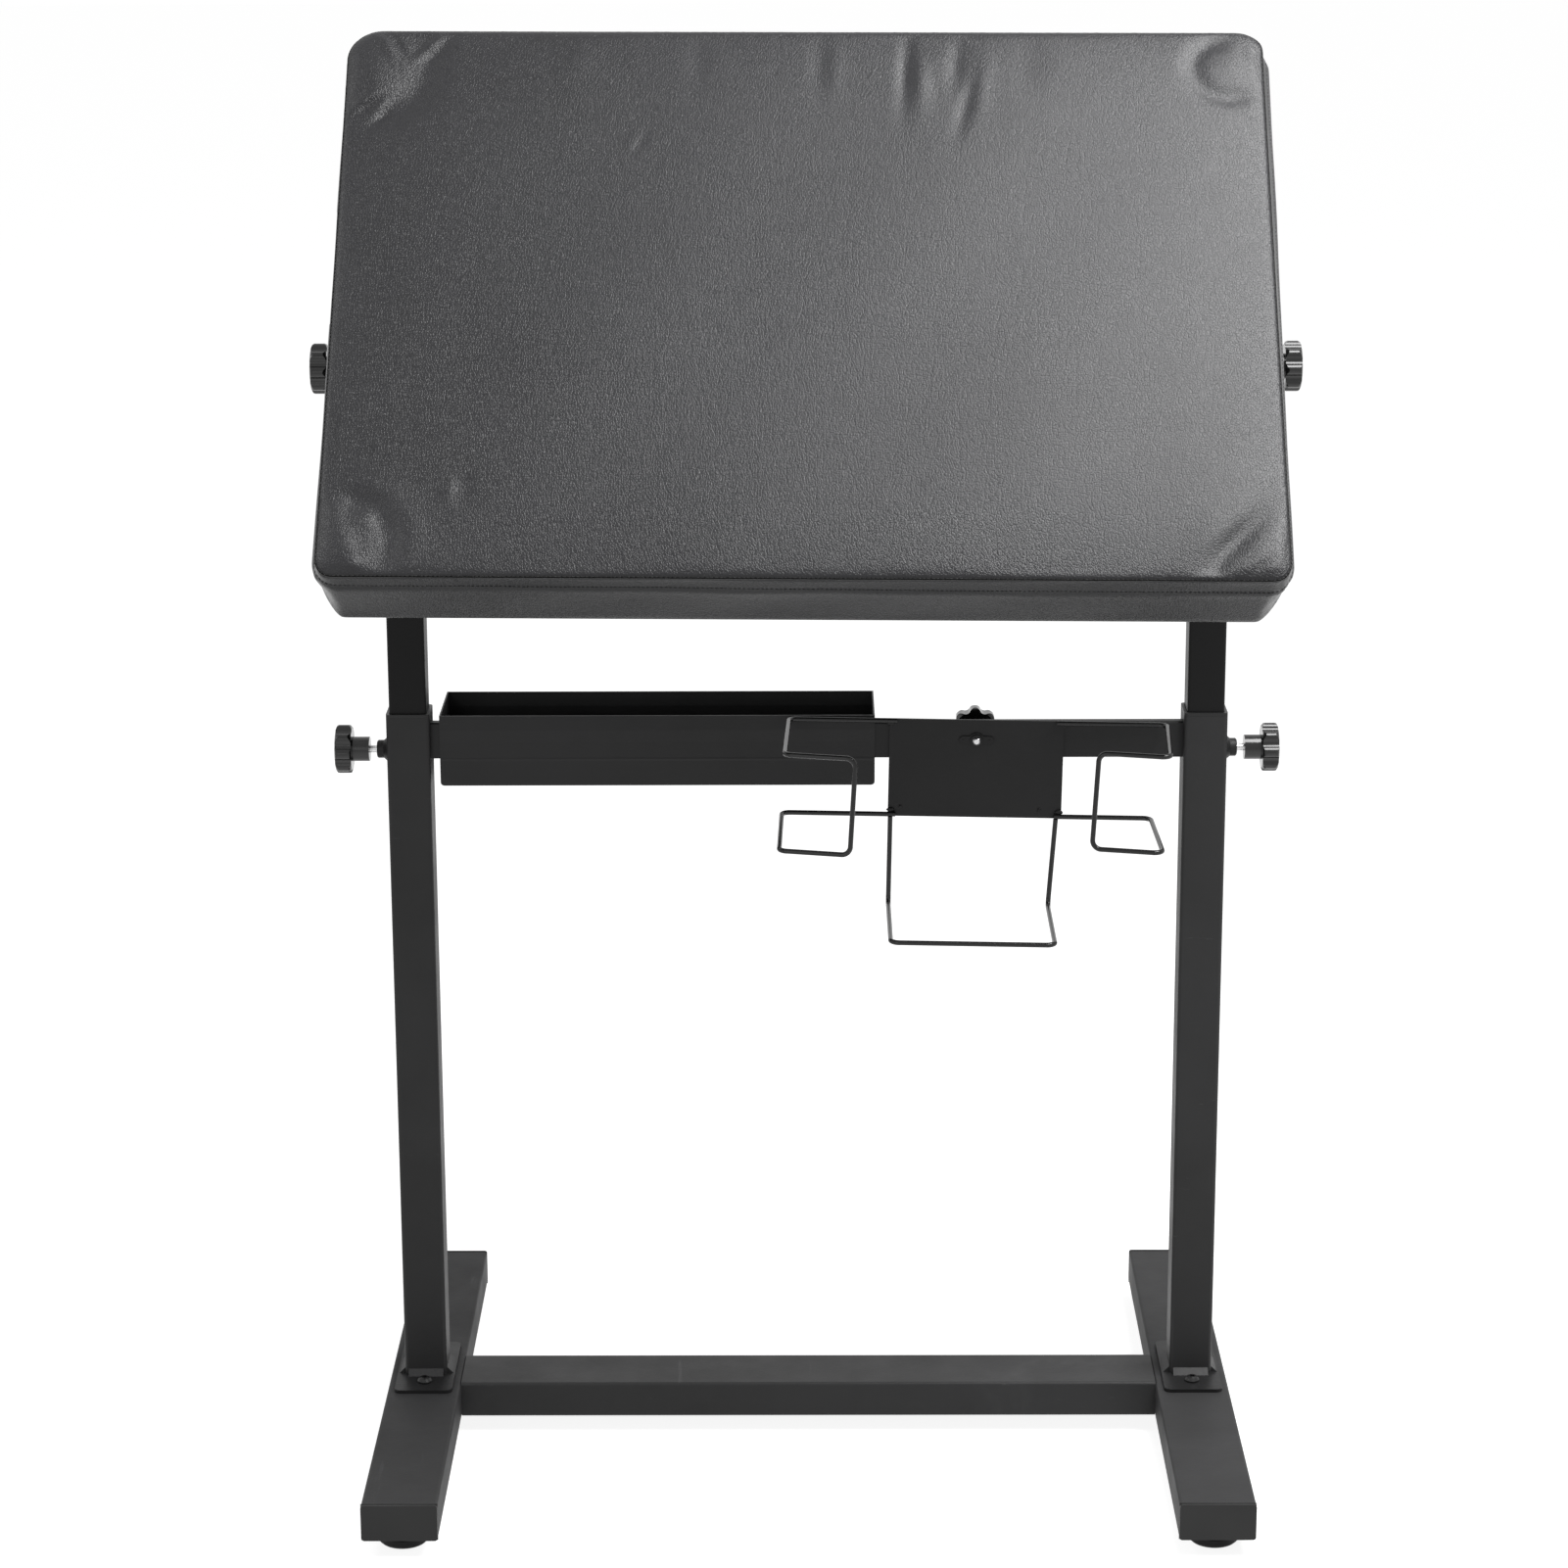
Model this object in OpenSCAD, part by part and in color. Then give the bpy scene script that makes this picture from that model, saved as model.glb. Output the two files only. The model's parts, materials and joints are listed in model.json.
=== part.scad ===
/* [Frame] */
// Distance between the centre lines of the two uprights
upright_gap = 640; // [636:2:700]
// Length of each floor rail, end caps included
rail_len = 530; // [460:10:640]
// Width of the floor rails and of the crossbar
rail_w = 60; // [56:1:66]
// Height of the floor rails and of the crossbar
rail_h = 30; // [28:1:36]
// Width and depth of the lower upright tubes
lower_w = 35; // [34:0.5:38]
// Width and depth of the upper upright tubes
upper_w = 30; // [28:0.5:30.5]
// Wall of all the frame tubes
tube_wall = 1.5; // [1.2:0.1:1.8]
// Height of the lower uprights' top above the floor
lower_top = 616; // [600:2:680]
// Length of an upper upright left inside the lower one
tube_overlap = 185; // [180:5:240]
// Depth of the upper bar, front to back
bar_d = 10; // [8:1:20]
// How far the upper bar's front stands ahead of the uprights' centre line
bar_front = 10; // [8:0.5:12]
// Height of the upper bar
bar_h = 30; // [28:1:32]
// How far the upper bar's top lies below the top of the lower uprights
bar_drop = 6; // [4:1:10]

/* [Floor glides and joints] */
// Height of a floor glide
glide_h = 15; // [12:1:18]
// Diameter of a floor glide
glide_dia = 40; // [30:1:44]
// Distance of a glide's centre from the end of its rail
glide_inset = 35; // [30:1:50]
// Width of the plate under each upright
foot_w = 48; // [46:1:52]
// Length of the plate under each upright
foot_len = 102; // [98:2:120]
// Thickness of the plate under each upright
foot_t = 3; // [2:0.5:4]
// Distance of a base plate screw from the upright's centre line
foot_screw_y = 33; // [31:1:38]

/* [Pad] */
// Height of the tilt pivot above the floor
pivot_z = 896; // [860:2:960]
// Tilt of the pad from level
rest_tilt = 48.7; // [40:0.1:56]
// How far the pad stands out past the centre line of each upright
pad_overhang = 43; // [38:0.5:44]
// Length of the pad down its slope
pad_len = 490; // [430:5:520]
// Thickness of the pad's side band
pad_t = 62; // [50:1:70]
// Height of the crown in the middle of the pad
pad_crown = 4; // [2:0.5:8]
// How far the pad's sides are drawn in between its corners
pad_draw = 2; // [0.5:0.5:3]
// Radius of the pad's corners
pad_corner = 18; // [14:1:24]
// How far each tilt bracket sits in from the pad's edge
cheek_set_in = 3; // [2:0.5:6]
// Distance from the pivot to the pad's underside
pivot_drop = 40; // [38:1:46]
// Thickness of the plywood board
board_t = 12; // [9:1:15]
// Thickness of the leather cover
leather_t = 1.4; // [1:0.1:1.8]

/* [Clamp knobs] */
// Diameter of a star knob over its lobes
knob_dia = 40; // [36:1:44]
// Thickness of a star knob's head
knob_t = 13; // [10:0.5:16]
// Length of a knob's hub
hub_len = 14; // [10:0.5:16]
// Diameter of a knob's hub
hub_dia = 20; // [16:0.5:22]
// Number of lobes on a star knob
lobes = 8; // [6:1:10]
// Diameter of the threaded studs
stud_dia = 6; // [5:0.5:8]
// Height of the height clamps below the top of the lower uprights
clamp_drop = 30; // [28:1:36]
// Bare stud between a height clamp's boss and its knob
clamp_show = 6; // [3:0.5:10]

/* [Tray] */
// Depth of the tray, front to back
tray_d = 80; // [70:2:100]
// Height of the tray
tray_h = 58; // [52:1:66]
// Sheet thickness of the tray
tray_t = 1.2; // [0.8:0.1:1.5]
// Gap between the tray and the left upright
tray_side_gap = 7.3; // [5:0.1:10]

/* [Bottle holder] */
// Gap between the right bottle loop and the right upright
holder_side_gap = 20.5; // [14:0.5:40]
// Gap between the tray and the holder's plate
plate_gap = 11.7; // [11.5:0.1:16]
// Width of the holder's plate
plate_w = 140; // [130:2:150]
// Height of the holder's plate above its screw
plate_up = 17; // [15:0.5:18]
// Height of the holder's plate below its screw
plate_down = 64; // [60:1:72]
// Thickness of the holder's plate
plate_t = 2; // [1.5:0.1:3]
// Diameter of the holder's wire
wire_dia = 4; // [3.5:0.1:4.5]
// Radius of the wire's bends, at its centre line
wire_bend = 7; // [6:0.5:9]
// Reach of the left bottle loop from the screw, at its front
left_reach = 155.5; // [150:0.5:158]
// Reach of the right bottle loop from the screw, at its front
right_reach = 145.5; // [140:0.5:148]
// Reach of the left loop's top wire along the plate
left_top_reach = 151; // [146:0.5:158]
// Reach of the right loop's top wire along the plate
right_top_reach = 152.5; // [140:0.5:154]
// Reach of the right loop's foot wire along the plate
right_foot_reach = 142; // [138:0.5:148]
// How far the left bottle loop stands forward of the plate
left_depth = 110; // [84:1:112]
// How far the right bottle loop stands forward of the plate
right_depth = 100; // [84:1:108]
// Width of a bottle loop's front wire
front_wire_w = 56; // [44:1:58]
// How far the front wires run off square
front_skew = 9.5; // [0:0.5:16]
// How far the loops lean sideways from top to bottom
loop_lean = 3; // [0:0.5:6]
// Drop of the centre loop below the plate
centre_drop = 73; // [60:1:90]
// How far the centre loop stands forward of the plate
centre_depth = 106; // [90:1:115]
// How far the holder hangs off level
holder_turn = 1.1; // [0:0.1:2]

/* [Hidden] */
$fn = 48;
over = 1;
slide_clear = 0.15;
fit_clear = 0.05;
hole_clear = 0.3;
face_clear = 0.1;
soft_clear = 0.3;

steel = "#37373a";
steel_dark = "#2b2b2e";
bright = "#c9cbcf";
plastic = "#141416";
rubber = "#1b1b1d";
leather = "#414245";
foam_tone = "#d8d2bf";
ply_tone = "#b68f5c";
cloth_tone = "#1d1d1f";

rail_r = 2.5;
cap_flange = 3;
cap_plug = 16;
cap_wall = 2;
upright_r = 3;
upper_r = 2.5;
bar_r = 2;

rail_z = glide_h;
rail_top = rail_z + rail_h;
rail_x = upright_gap / 2;
crossbar_len = upright_gap - rail_w;
foot_top = rail_top + foot_t;
lower_len = lower_top - foot_top;
foot_r = 6;
weld_leg = 5;

bar_top = lower_top - bar_drop;
bar_z = bar_top - bar_h / 2;
bar_len = upright_gap - lower_w;
bar_back = bar_d - bar_front;
clamp_z = lower_top - clamp_drop;

glide_pad_h = glide_h * 8 / 15;
glide_neck_dia = glide_dia * 0.42;
glide_edge = 2;
glide_stem_dia = 8;
glide_stem_len = 20;

screw_dia = 6;
screw_head_dia = 12;
screw_head_h = 4.5;
screw_len = 14;
socket_across = 4;
socket_deep = 2.5;
nut_across = 10;
nut_h = 5;
bolt_dia = 8;
bolt_head_dia = 14;
bolt_head_h = 5;
bolt_y = 16;
end_plate_t = 5;
bolt_len = rail_w + end_plate_t + tube_wall;

bush_len = 40;
bush_flange = 2.5;
bush_w = lower_w - 2 * tube_wall - 2 * fit_clear;

boss_nose_dia = 14.6;
boss_root_dia = 21;
boss_len = 9;
boss_flare = 3.6;
boss_edge = 1;

pivot_head = 20;
upper_len = pivot_z + pivot_head - (lower_top - tube_overlap);
top_cap_t = 2;

pad_w = upright_gap + 2 * pad_overhang;
pad_under = pivot_drop;
pad_face = pivot_drop + pad_t;
cheek_t = 3;
cheek_out = pad_w / 2 - cheek_set_in;
cheek_in = cheek_out - cheek_t;
cheek_r = 17;
cheek_top_w = 70;
flange_w = 40;
bracket_bend = 4;
flange_top = pad_under - face_clear;
pivot_boss_dia = 20;
pivot_boss_len = cheek_in - face_clear - (rail_x + upper_w / 2);
washer_t = 1.6;
washer_dia = 18;
washer_out = cheek_out + face_clear + washer_t;
tilt_hub_x = washer_out + face_clear;
wood_screw_dia = 4.5;
wood_screw_head = 9;
wood_screw_head_h = 3;
wood_screw_len = 11;
wood_screw_x = [cheek_out - 12, cheek_out - 30];
wood_screw_y = 25;

hem_share = 0.26;
board_inset = leather_t + pad_draw + hem_share * pad_corner + soft_clear;
board_under = pad_under + leather_t + soft_clear;
board_top = board_under + board_t;
hem_w = 48;
dust_t = 0.8;

zip_len = 70;
zip_top_y = 79;
zip_w = 7;
zip_t = 3.2;
zip_tooth = 1.6;
zip_z = pad_under + pad_t * 0.6;
zip_x = pad_w / 2 - draw_at(zip_top_y / (pad_len / 2 - pad_corner)) + face_clear;
slider_len = 9;
slider_w = 8;
slider_t = 3.4;
pull_len = 14;
pull_w = 5;
pull_t = 1.4;

knob_r = knob_dia / 2;
lobe_r = knob_r * 0.23;
lobe_at = knob_r - lobe_r;
valley_r = knob_r * 0.2;
knob_round = knob_t * 0.2;
dish_r = knob_r * 0.42;
dish_deep = knob_t * 0.12;
stud_sunk = hub_len + knob_t * 0.3;

height_hub_x = rail_x + lower_w / 2 + boss_len + clamp_show;
stud_tip_x = rail_x + upper_w / 2 + face_clear;

holder_x = rail_x - lower_w / 2 - holder_side_gap - right_reach;
tray_left = -rail_x + lower_w / 2 + tray_side_gap;
tray_right = holder_x - plate_w / 2 - plate_gap;
tray_len = tray_right - tray_left;
tray_front = -bar_front - tray_t;
tray_corner = 3;
tray_z = lower_top - tray_h;
window_clear = 0.2;

plate_back = -bar_front - fit_clear;
plate_front = plate_back - plate_t;
wire_r = wire_dia / 2;
wire_y = plate_front - wire_r - fit_clear;
wire_lap = 6;
bend_lap = 0.25;
bend_swell = 0.03;
wire_top_z = plate_up - wire_r / 2;
wire_low_z = -plate_down + wire_r;
centre_half = plate_w / 2 - wire_r;
centre_in = 2.5;
centre_lean = 4;
weld_nut_tab = 14;
weld_nut_tab_r = 3.6;
weld_nut_r = 6.4;
weld_nut_t = 1.4;
weld_nut_h = 3;
pip_r = 1.1;
holder_stud_out = 1.5;

// Flat outline with round corners
module round_rect(w, d, r) {
    square([w - 2 * r, d], center = true);
    square([w, d - 2 * r], center = true);
    for (x = [-1, 1], y = [-1, 1])
        translate([x * (w / 2 - r), y * (d / 2 - r)])
            circle(r = r);
}

// Straight tube with round corners, standing on z = 0
module box_tube(w, d, h, r) {
    difference() {
        linear_extrude(h)
            round_rect(w, d, r);
        translate([0, 0, -over])
            linear_extrude(h + 2 * over)
                round_rect(w - 2 * tube_wall, d - 2 * tube_wall, r - tube_wall / 2);
    }
}

// Places its children at both sides, the right one as drawn and the left one mirrored
module at_side(side) {
    if (side > 0)
        children();
    else
        mirror([1, 0, 0])
            children();
}

// The pad's own frame: x across, y up the slope, z out of the face, origin on the pivot
module on_pad() {
    translate([0, 0, pivot_z])
        rotate([rest_tilt, 0, 0])
            children();
}

// The holder's own frame: origin on its screw, at the middle of the bar
module on_holder() {
    translate([holder_x, 0, bar_z])
        rotate([0, holder_turn, 0])
            children();
}

// A floor rail along y, with its bolt and screw holes
module rail(side) {
    at_side(side)
        difference() {
            translate([rail_x, rail_len / 2 - cap_flange, rail_z + rail_h / 2])
                rotate([90, 0, 0])
                    box_tube(rail_w, rail_h, rail_len - 2 * cap_flange, rail_r);
            for (y = [-bolt_y, bolt_y])
                translate([rail_x - rail_w / 2 - over, y, rail_z + rail_h / 2])
                    rotate([0, 90, 0])
                        cylinder(h = rail_w + 2 * over, d = bolt_dia + 2 * hole_clear);
            for (y = [-foot_screw_y, foot_screw_y])
                translate([rail_x, y, rail_top - tube_wall - over])
                    cylinder(h = tube_wall + 2 * over, d = screw_dia + 2 * hole_clear);
            for (y = [-1, 1])
                translate([rail_x, y * (rail_len / 2 - glide_inset), rail_z - over])
                    cylinder(h = tube_wall + 2 * over, d = glide_stem_dia + 2 * fit_clear);
        }
}

module left_rail() {
    color(steel)
        rail(-1);
}

module right_rail() {
    color(steel)
        rail(1);
}

// Plug that closes a rail's end, flange outwards along y
module end_cap() {
    plug_w = rail_w - 2 * tube_wall - 2 * fit_clear;
    plug_h = rail_h - 2 * tube_wall - 2 * fit_clear;
    rotate([-90, 0, 0])
        linear_extrude(cap_flange)
            round_rect(rail_w, rail_h, rail_r);
    rotate([90, 0, 0])
        difference() {
            linear_extrude(cap_plug)
                round_rect(plug_w, plug_h, rail_r - tube_wall / 2);
            translate([0, 0, cap_flange])
                linear_extrude(cap_plug)
                    round_rect(plug_w - 2 * cap_wall, plug_h - 2 * cap_wall, cap_wall / 2);
        }
}

module rail_end_caps() {
    color(plastic)
        for (side = [-1, 1], end = [0, 1])
            translate([side * rail_x, 0, rail_z + rail_h / 2])
                mirror([0, end, 0])
                    translate([0, rail_len / 2 - cap_flange, 0])
                        end_cap();
}

// Round glide with its neck and the stem that screws into the rail
module glide() {
    pad_r = glide_dia / 2;
    rotate_extrude()
        union() {
            polygon([
                [0, 0], [pad_r - glide_edge, 0], [pad_r, glide_edge],
                [pad_r, glide_pad_h - glide_edge / 2], [pad_r - glide_edge, glide_pad_h],
                [glide_neck_dia / 2, glide_pad_h], [glide_neck_dia / 2, glide_h - face_clear],
                [glide_stem_dia / 2, glide_h - face_clear],
                [glide_stem_dia / 2, glide_h + glide_stem_len], [0, glide_h + glide_stem_len]
            ]);
        }
}

module floor_glides() {
    color(rubber)
        for (x = [-1, 1], y = [-1, 1])
            translate([x * rail_x, y * (rail_len / 2 - glide_inset), 0])
                glide();
}

module crossbar() {
    color(steel)
        translate([-crossbar_len / 2, 0, rail_z + rail_h / 2])
            rotate([90, 0, 90])
                box_tube(rail_w, rail_h, crossbar_len, rail_r);
}

// Threaded plates set flush inside the crossbar's ends
module crossbar_end_plates() {
    color(steel_dark)
        for (side = [-1, 1])
            at_side(side)
                difference() {
                    translate([crossbar_len / 2 - end_plate_t, 0, rail_z + rail_h / 2])
                        rotate([90, 0, 90])
                            linear_extrude(end_plate_t)
                                round_rect(rail_w - 2 * tube_wall - 2 * fit_clear,
                                    rail_h - 2 * tube_wall - 2 * fit_clear, rail_r - tube_wall / 2);
                    for (y = [-bolt_y, bolt_y])
                        translate([crossbar_len / 2 - end_plate_t - over, y, rail_z + rail_h / 2])
                            rotate([0, 90, 0])
                                cylinder(h = end_plate_t + 2 * over, d = bolt_dia + 2 * fit_clear);
                }
}

// Button head screw pointing down, its head's underside at z = 0
module socket_screw(dia, head_dia, head_h, len) {
    head_edge = head_h / 3;
    difference() {
        rotate_extrude()
            polygon([
                [0, -len], [dia / 2, -len], [dia / 2, 0], [head_dia / 2, 0],
                [head_dia / 2, head_h - 2 * head_edge], [head_dia / 2 - head_edge, head_h - head_edge / 2],
                [head_dia / 2 - 2 * head_edge, head_h], [0, head_h]
            ]);
        translate([0, 0, head_h - socket_deep])
            cylinder(h = socket_deep + over, d = socket_across * 2 / sqrt(3), $fn = 6);
    }
}

module crossbar_bolts() {
    color(steel_dark)
        for (side = [-1, 1], y = [-bolt_y, bolt_y])
            at_side(side)
                translate([rail_x + rail_w / 2 + face_clear, y, rail_z + rail_h / 2])
                    rotate([0, 90, 0])
                        socket_screw(bolt_dia, bolt_head_dia, bolt_head_h, bolt_len);
}

// Plate under an upright, screwed to the rail in front and behind
module base_plate(side) {
    at_side(side)
        translate([rail_x, 0, rail_top])
            difference() {
                linear_extrude(foot_t)
                    round_rect(foot_w, foot_len, foot_r);
                for (y = [-foot_screw_y, foot_screw_y])
                    translate([0, y, -over])
                        cylinder(h = foot_t + 2 * over, d = screw_dia + 2 * hole_clear);
            }
}

module left_base_plate() {
    color(steel)
        base_plate(-1);
}

module right_base_plate() {
    color(steel)
        base_plate(1);
}

module base_plate_screws() {
    color(steel_dark)
        for (x = [-1, 1], y = [-foot_screw_y, foot_screw_y])
            translate([x * rail_x, y, foot_top + face_clear])
                socket_screw(screw_dia, screw_head_dia, screw_head_h, screw_len);
}

// Weld nuts under the rails' top walls
module base_plate_nuts() {
    color(bright)
        for (x = [-1, 1], y = [-foot_screw_y, foot_screw_y])
            translate([x * rail_x, y, rail_top - tube_wall - nut_h])
                difference() {
                    cylinder(h = nut_h, d = nut_across * 2 / sqrt(3), $fn = 6);
                    translate([0, 0, -over])
                        cylinder(h = nut_h + 2 * over, d = screw_dia + 2 * fit_clear);
                }
}

// Lower upright: open tube, weld fillet round its foot, hole for the height clamp
module lower_upright(side) {
    at_side(side)
        translate([rail_x, 0, 0])
            difference() {
                union() {
                    translate([0, 0, foot_top])
                        box_tube(lower_w, lower_w, lower_len, upright_r);
                    for (turn = [0 : 90 : 270])
                        rotate([0, 0, turn])
                            translate([lower_w / 2 - upright_r, lower_w / 2, foot_top])
                                rotate([0, -90, 0])
                                    linear_extrude(lower_w - 2 * upright_r)
                                        polygon([[0, -tube_wall / 2], [0, weld_leg],
                                            [weld_leg, 0], [weld_leg, -tube_wall / 2]]);
                }
                translate([0, 0, clamp_z])
                    rotate([0, 90, 0])
                        cylinder(h = lower_w, d = stud_dia + 2 * hole_clear);
            }
}

module left_lower_upright() {
    color(steel)
        lower_upright(-1);
}

module right_lower_upright() {
    color(steel)
        lower_upright(1);
}

// Plastic guide bush: a flange on the tube's top and a thin sleeve inside it
module bush(side) {
    hole_w = upper_w + 2 * slide_clear;
    at_side(side)
        translate([rail_x, 0, lower_top])
            difference() {
                union() {
                    translate([0, 0, face_clear])
                        linear_extrude(bush_flange)
                            round_rect(lower_w, lower_w, upright_r);
                    translate([0, 0, -bush_len])
                        linear_extrude(bush_len + bush_flange / 2)
                            round_rect(bush_w, bush_w, upright_r - tube_wall / 2);
                }
                translate([0, 0, -bush_len - over])
                    linear_extrude(bush_len + bush_flange + 2 * over)
                        round_rect(hole_w, hole_w, upper_r);
                translate([0, 0, -clamp_drop])
                    rotate([0, 90, 0])
                        cylinder(h = lower_w, d = stud_dia + 2 * hole_clear);
            }
}

module left_bush() {
    color(plastic)
        bush(-1);
}

module right_bush() {
    color(plastic)
        bush(1);
}

// Flared weld boss that carries a height clamp's thread
module clamp_boss(side) {
    bore_r = stud_dia / 2 + fit_clear;
    at_side(side)
        translate([rail_x + lower_w / 2, 0, clamp_z])
            rotate([0, 90, 0])
                rotate_extrude()
                    polygon([
                        [bore_r, 0], [boss_root_dia / 2, 0], [boss_nose_dia / 2, boss_flare],
                        [boss_nose_dia / 2, boss_len - boss_edge],
                        [boss_nose_dia / 2 - boss_edge, boss_len], [bore_r, boss_len]
                    ]);
}

module left_clamp_boss() {
    color(steel_dark)
        clamp_boss(-1);
}

module right_clamp_boss() {
    color(steel_dark)
        clamp_boss(1);
}

module upper_bar() {
    color(steel)
        difference() {
            translate([-bar_len / 2, bar_back - bar_d / 2, bar_z])
                rotate([90, 0, 90])
                    box_tube(bar_d, bar_h, bar_len, bar_r);
            translate([holder_x, bar_back + over, bar_z])
                rotate([90, 0, 0])
                    cylinder(h = bar_d + 2 * over, d = stud_dia + 2 * hole_clear);
        }
}

// Folded sheet tray. Its front wall lies on the bar's face and the bar runs through its ends.
module tray() {
    color(steel)
        translate([tray_left, tray_front, tray_z])
            difference() {
                rotate([90, 0, 0])
                    mirror([0, 0, 1])
                        linear_extrude(tray_d)
                            tray_outline(0);
                translate([0, tray_t, 0])
                    rotate([90, 0, 0])
                        mirror([0, 0, 1])
                            linear_extrude(tray_d - 2 * tray_t)
                                tray_outline(tray_t);
                translate([-over, tray_t, bar_top - bar_h - window_clear - tray_z])
                    cube([tray_len + 2 * over, bar_d + window_clear, bar_h + 2 * window_clear]);
            }
}

// The tray's outline seen from the front, open at the top when drawn inset
module tray_outline(inset) {
    r = tray_corner - inset;
    rise = inset > 0 ? over : 0;
    translate([inset + r, inset])
        square([tray_len - 2 * inset - 2 * r, tray_h - inset + rise]);
    translate([inset, inset + r])
        square([tray_len - 2 * inset, tray_h - inset - r + rise]);
    for (x = [tray_corner, tray_len - tray_corner])
        translate([x, tray_corner])
            circle(r = r);
}

// Upper upright: slides in the lower one and carries the pivot at its top
module upper_upright(side) {
    at_side(side)
        translate([rail_x, 0, lower_top - tube_overlap])
            difference() {
                box_tube(upper_w, upper_w, upper_len, upper_r);
                translate([0, 0, upper_len - pivot_head])
                    rotate([0, 90, 0])
                        cylinder(h = upper_w, d = stud_dia + 2 * hole_clear);
            }
}

module left_upper_upright() {
    color(steel_dark)
        upper_upright(-1);
}

module right_upper_upright() {
    color(steel_dark)
        upper_upright(1);
}

module upright_top_caps() {
    plug_w = upper_w - 2 * tube_wall - 2 * fit_clear;
    color(plastic)
        for (side = [-1, 1])
            translate([side * rail_x, 0, pivot_z + pivot_head]) {
                linear_extrude(top_cap_t)
                    round_rect(upper_w, upper_w, upper_r);
                translate([0, 0, -pivot_head / 2])
                    linear_extrude(pivot_head / 2)
                        round_rect(plug_w, plug_w, upper_r - tube_wall / 2);
            }
}

// Threaded boss from the upper upright out to the bracket's cheek
module pivot_boss(side) {
    at_side(side)
        translate([rail_x + upper_w / 2, 0, pivot_z])
            rotate([0, 90, 0])
                difference() {
                    cylinder(h = pivot_boss_len, d = pivot_boss_dia);
                    translate([0, 0, -over])
                        cylinder(h = pivot_boss_len + 2 * over, d = stud_dia + 2 * fit_clear);
                }
}

module left_pivot_boss() {
    color(steel_dark)
        pivot_boss(-1);
}

module right_pivot_boss() {
    color(steel_dark)
        pivot_boss(1);
}

// Bracket: a cheek beside the upright and a flange under the board, bent from one strip
module tilt_bracket(side) {
    on_pad()
        at_side(side)
            difference() {
                intersection() {
                    translate([0, cheek_top_w / 2, 0])
                        rotate([90, 0, 0])
                            linear_extrude(cheek_top_w)
                                bracket_profile();
                    union() {
                        translate([cheek_out - flange_w, -cheek_top_w / 2, flange_top - cheek_t])
                            cube([flange_w + over, cheek_top_w, cheek_t + over]);
                        translate([cheek_in - bracket_bend - over, 0, 0])
                            rotate([90, 0, 90])
                                linear_extrude(cheek_t + bracket_bend + 2 * over)
                                    cheek_outline();
                    }
                }
                translate([cheek_in - over, 0, 0])
                    rotate([0, 90, 0])
                        cylinder(h = cheek_t + 2 * over, d = stud_dia + 2 * hole_clear);
                for (x = wood_screw_x, y = [-wood_screw_y, wood_screw_y])
                    translate([x, y, flange_top - cheek_t - over])
                        cylinder(h = cheek_t + 2 * over, d = wood_screw_dia + 2 * hole_clear);
            }
}

// The bent strip seen along the slope
module bracket_profile() {
    corner_x = cheek_out - bracket_bend;
    corner_z = flange_top - bracket_bend;
    translate([cheek_in, -cheek_r - over])
        square([cheek_t, corner_z + cheek_r + over]);
    translate([cheek_out - flange_w, flange_top - cheek_t])
        square([flange_w - bracket_bend, cheek_t]);
    intersection() {
        difference() {
            translate([corner_x, corner_z])
                circle(r = bracket_bend);
            translate([corner_x, corner_z])
                circle(r = bracket_bend - cheek_t);
        }
        translate([corner_x, corner_z])
            square(bracket_bend + over);
    }
}

// The cheek seen from the side: round at the pivot and wide at the board
module cheek_outline() {
    circle(r = cheek_r);
    polygon([[-cheek_r, 0], [cheek_r, 0], [cheek_top_w / 2, flange_top - cheek_t],
        [cheek_top_w / 2, flange_top + over], [-cheek_top_w / 2, flange_top + over],
        [-cheek_top_w / 2, flange_top - cheek_t]]);
}

module left_tilt_bracket() {
    color(steel_dark)
        tilt_bracket(-1);
}

module right_tilt_bracket() {
    color(steel_dark)
        tilt_bracket(1);
}

module bracket_screws() {
    color(bright)
        on_pad()
            for (side = [-1, 1], x = wood_screw_x, y = [-wood_screw_y, wood_screw_y])
                at_side(side)
                    translate([x, y, flange_top - cheek_t - face_clear])
                        mirror([0, 0, 1])
                            socket_screw(wood_screw_dia, wood_screw_head, wood_screw_head_h,
                                wood_screw_len);
}

module tilt_washers() {
    color(bright)
        for (side = [-1, 1])
            at_side(side)
                translate([cheek_out + face_clear, 0, pivot_z])
                    rotate([0, 90, 0])
                        difference() {
                            cylinder(h = washer_t, d = washer_dia);
                            translate([0, 0, -over])
                                cylinder(h = washer_t + 2 * over, d = stud_dia + 2 * hole_clear);
                        }
}

// Rings of the padded form from its underside to its crown:
// height as a share of the side band, inset as a share of the corner radius
ring_shares = [
    [0, hem_share], [0.03, 0.11], [0.1, 0.02], [0.5, 0], [0.88, 0.02], [0.96, 0.1], [1, 0.3]
];
// Rings over the face: inset as a share of the half width or length, rise as a share of the crown
crown_shares = [[0.1, 0.35], [0.28, 0.72], [0.55, 0.94]];
side_steps = 6;
corner_steps = 4;

// How far a side is drawn in at a share along it, from -1 to 1
function draw_at(share) = pad_draw * (1 - share * share);

// One side with the corner that follows it, for a form of half sizes a and b
function side_points(a, b, r) = concat(
    [for (i = [0 : side_steps - 1])
        let (share = 2 * (i + 0.5) / side_steps - 1)
        [share * (a - r), -b + draw_at(share)]],
    [for (i = [0 : corner_steps])
        let (angle = -90 + 90 * i / corner_steps)
        [a - r + r * cos(angle), -b + r + r * sin(angle)]]
);

function turned(points, quarter) = [for (p = points)
    quarter == 0 ? p : quarter == 1 ? [-p[1], p[0]] : quarter == 2 ? -p : [p[1], -p[0]]];

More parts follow.
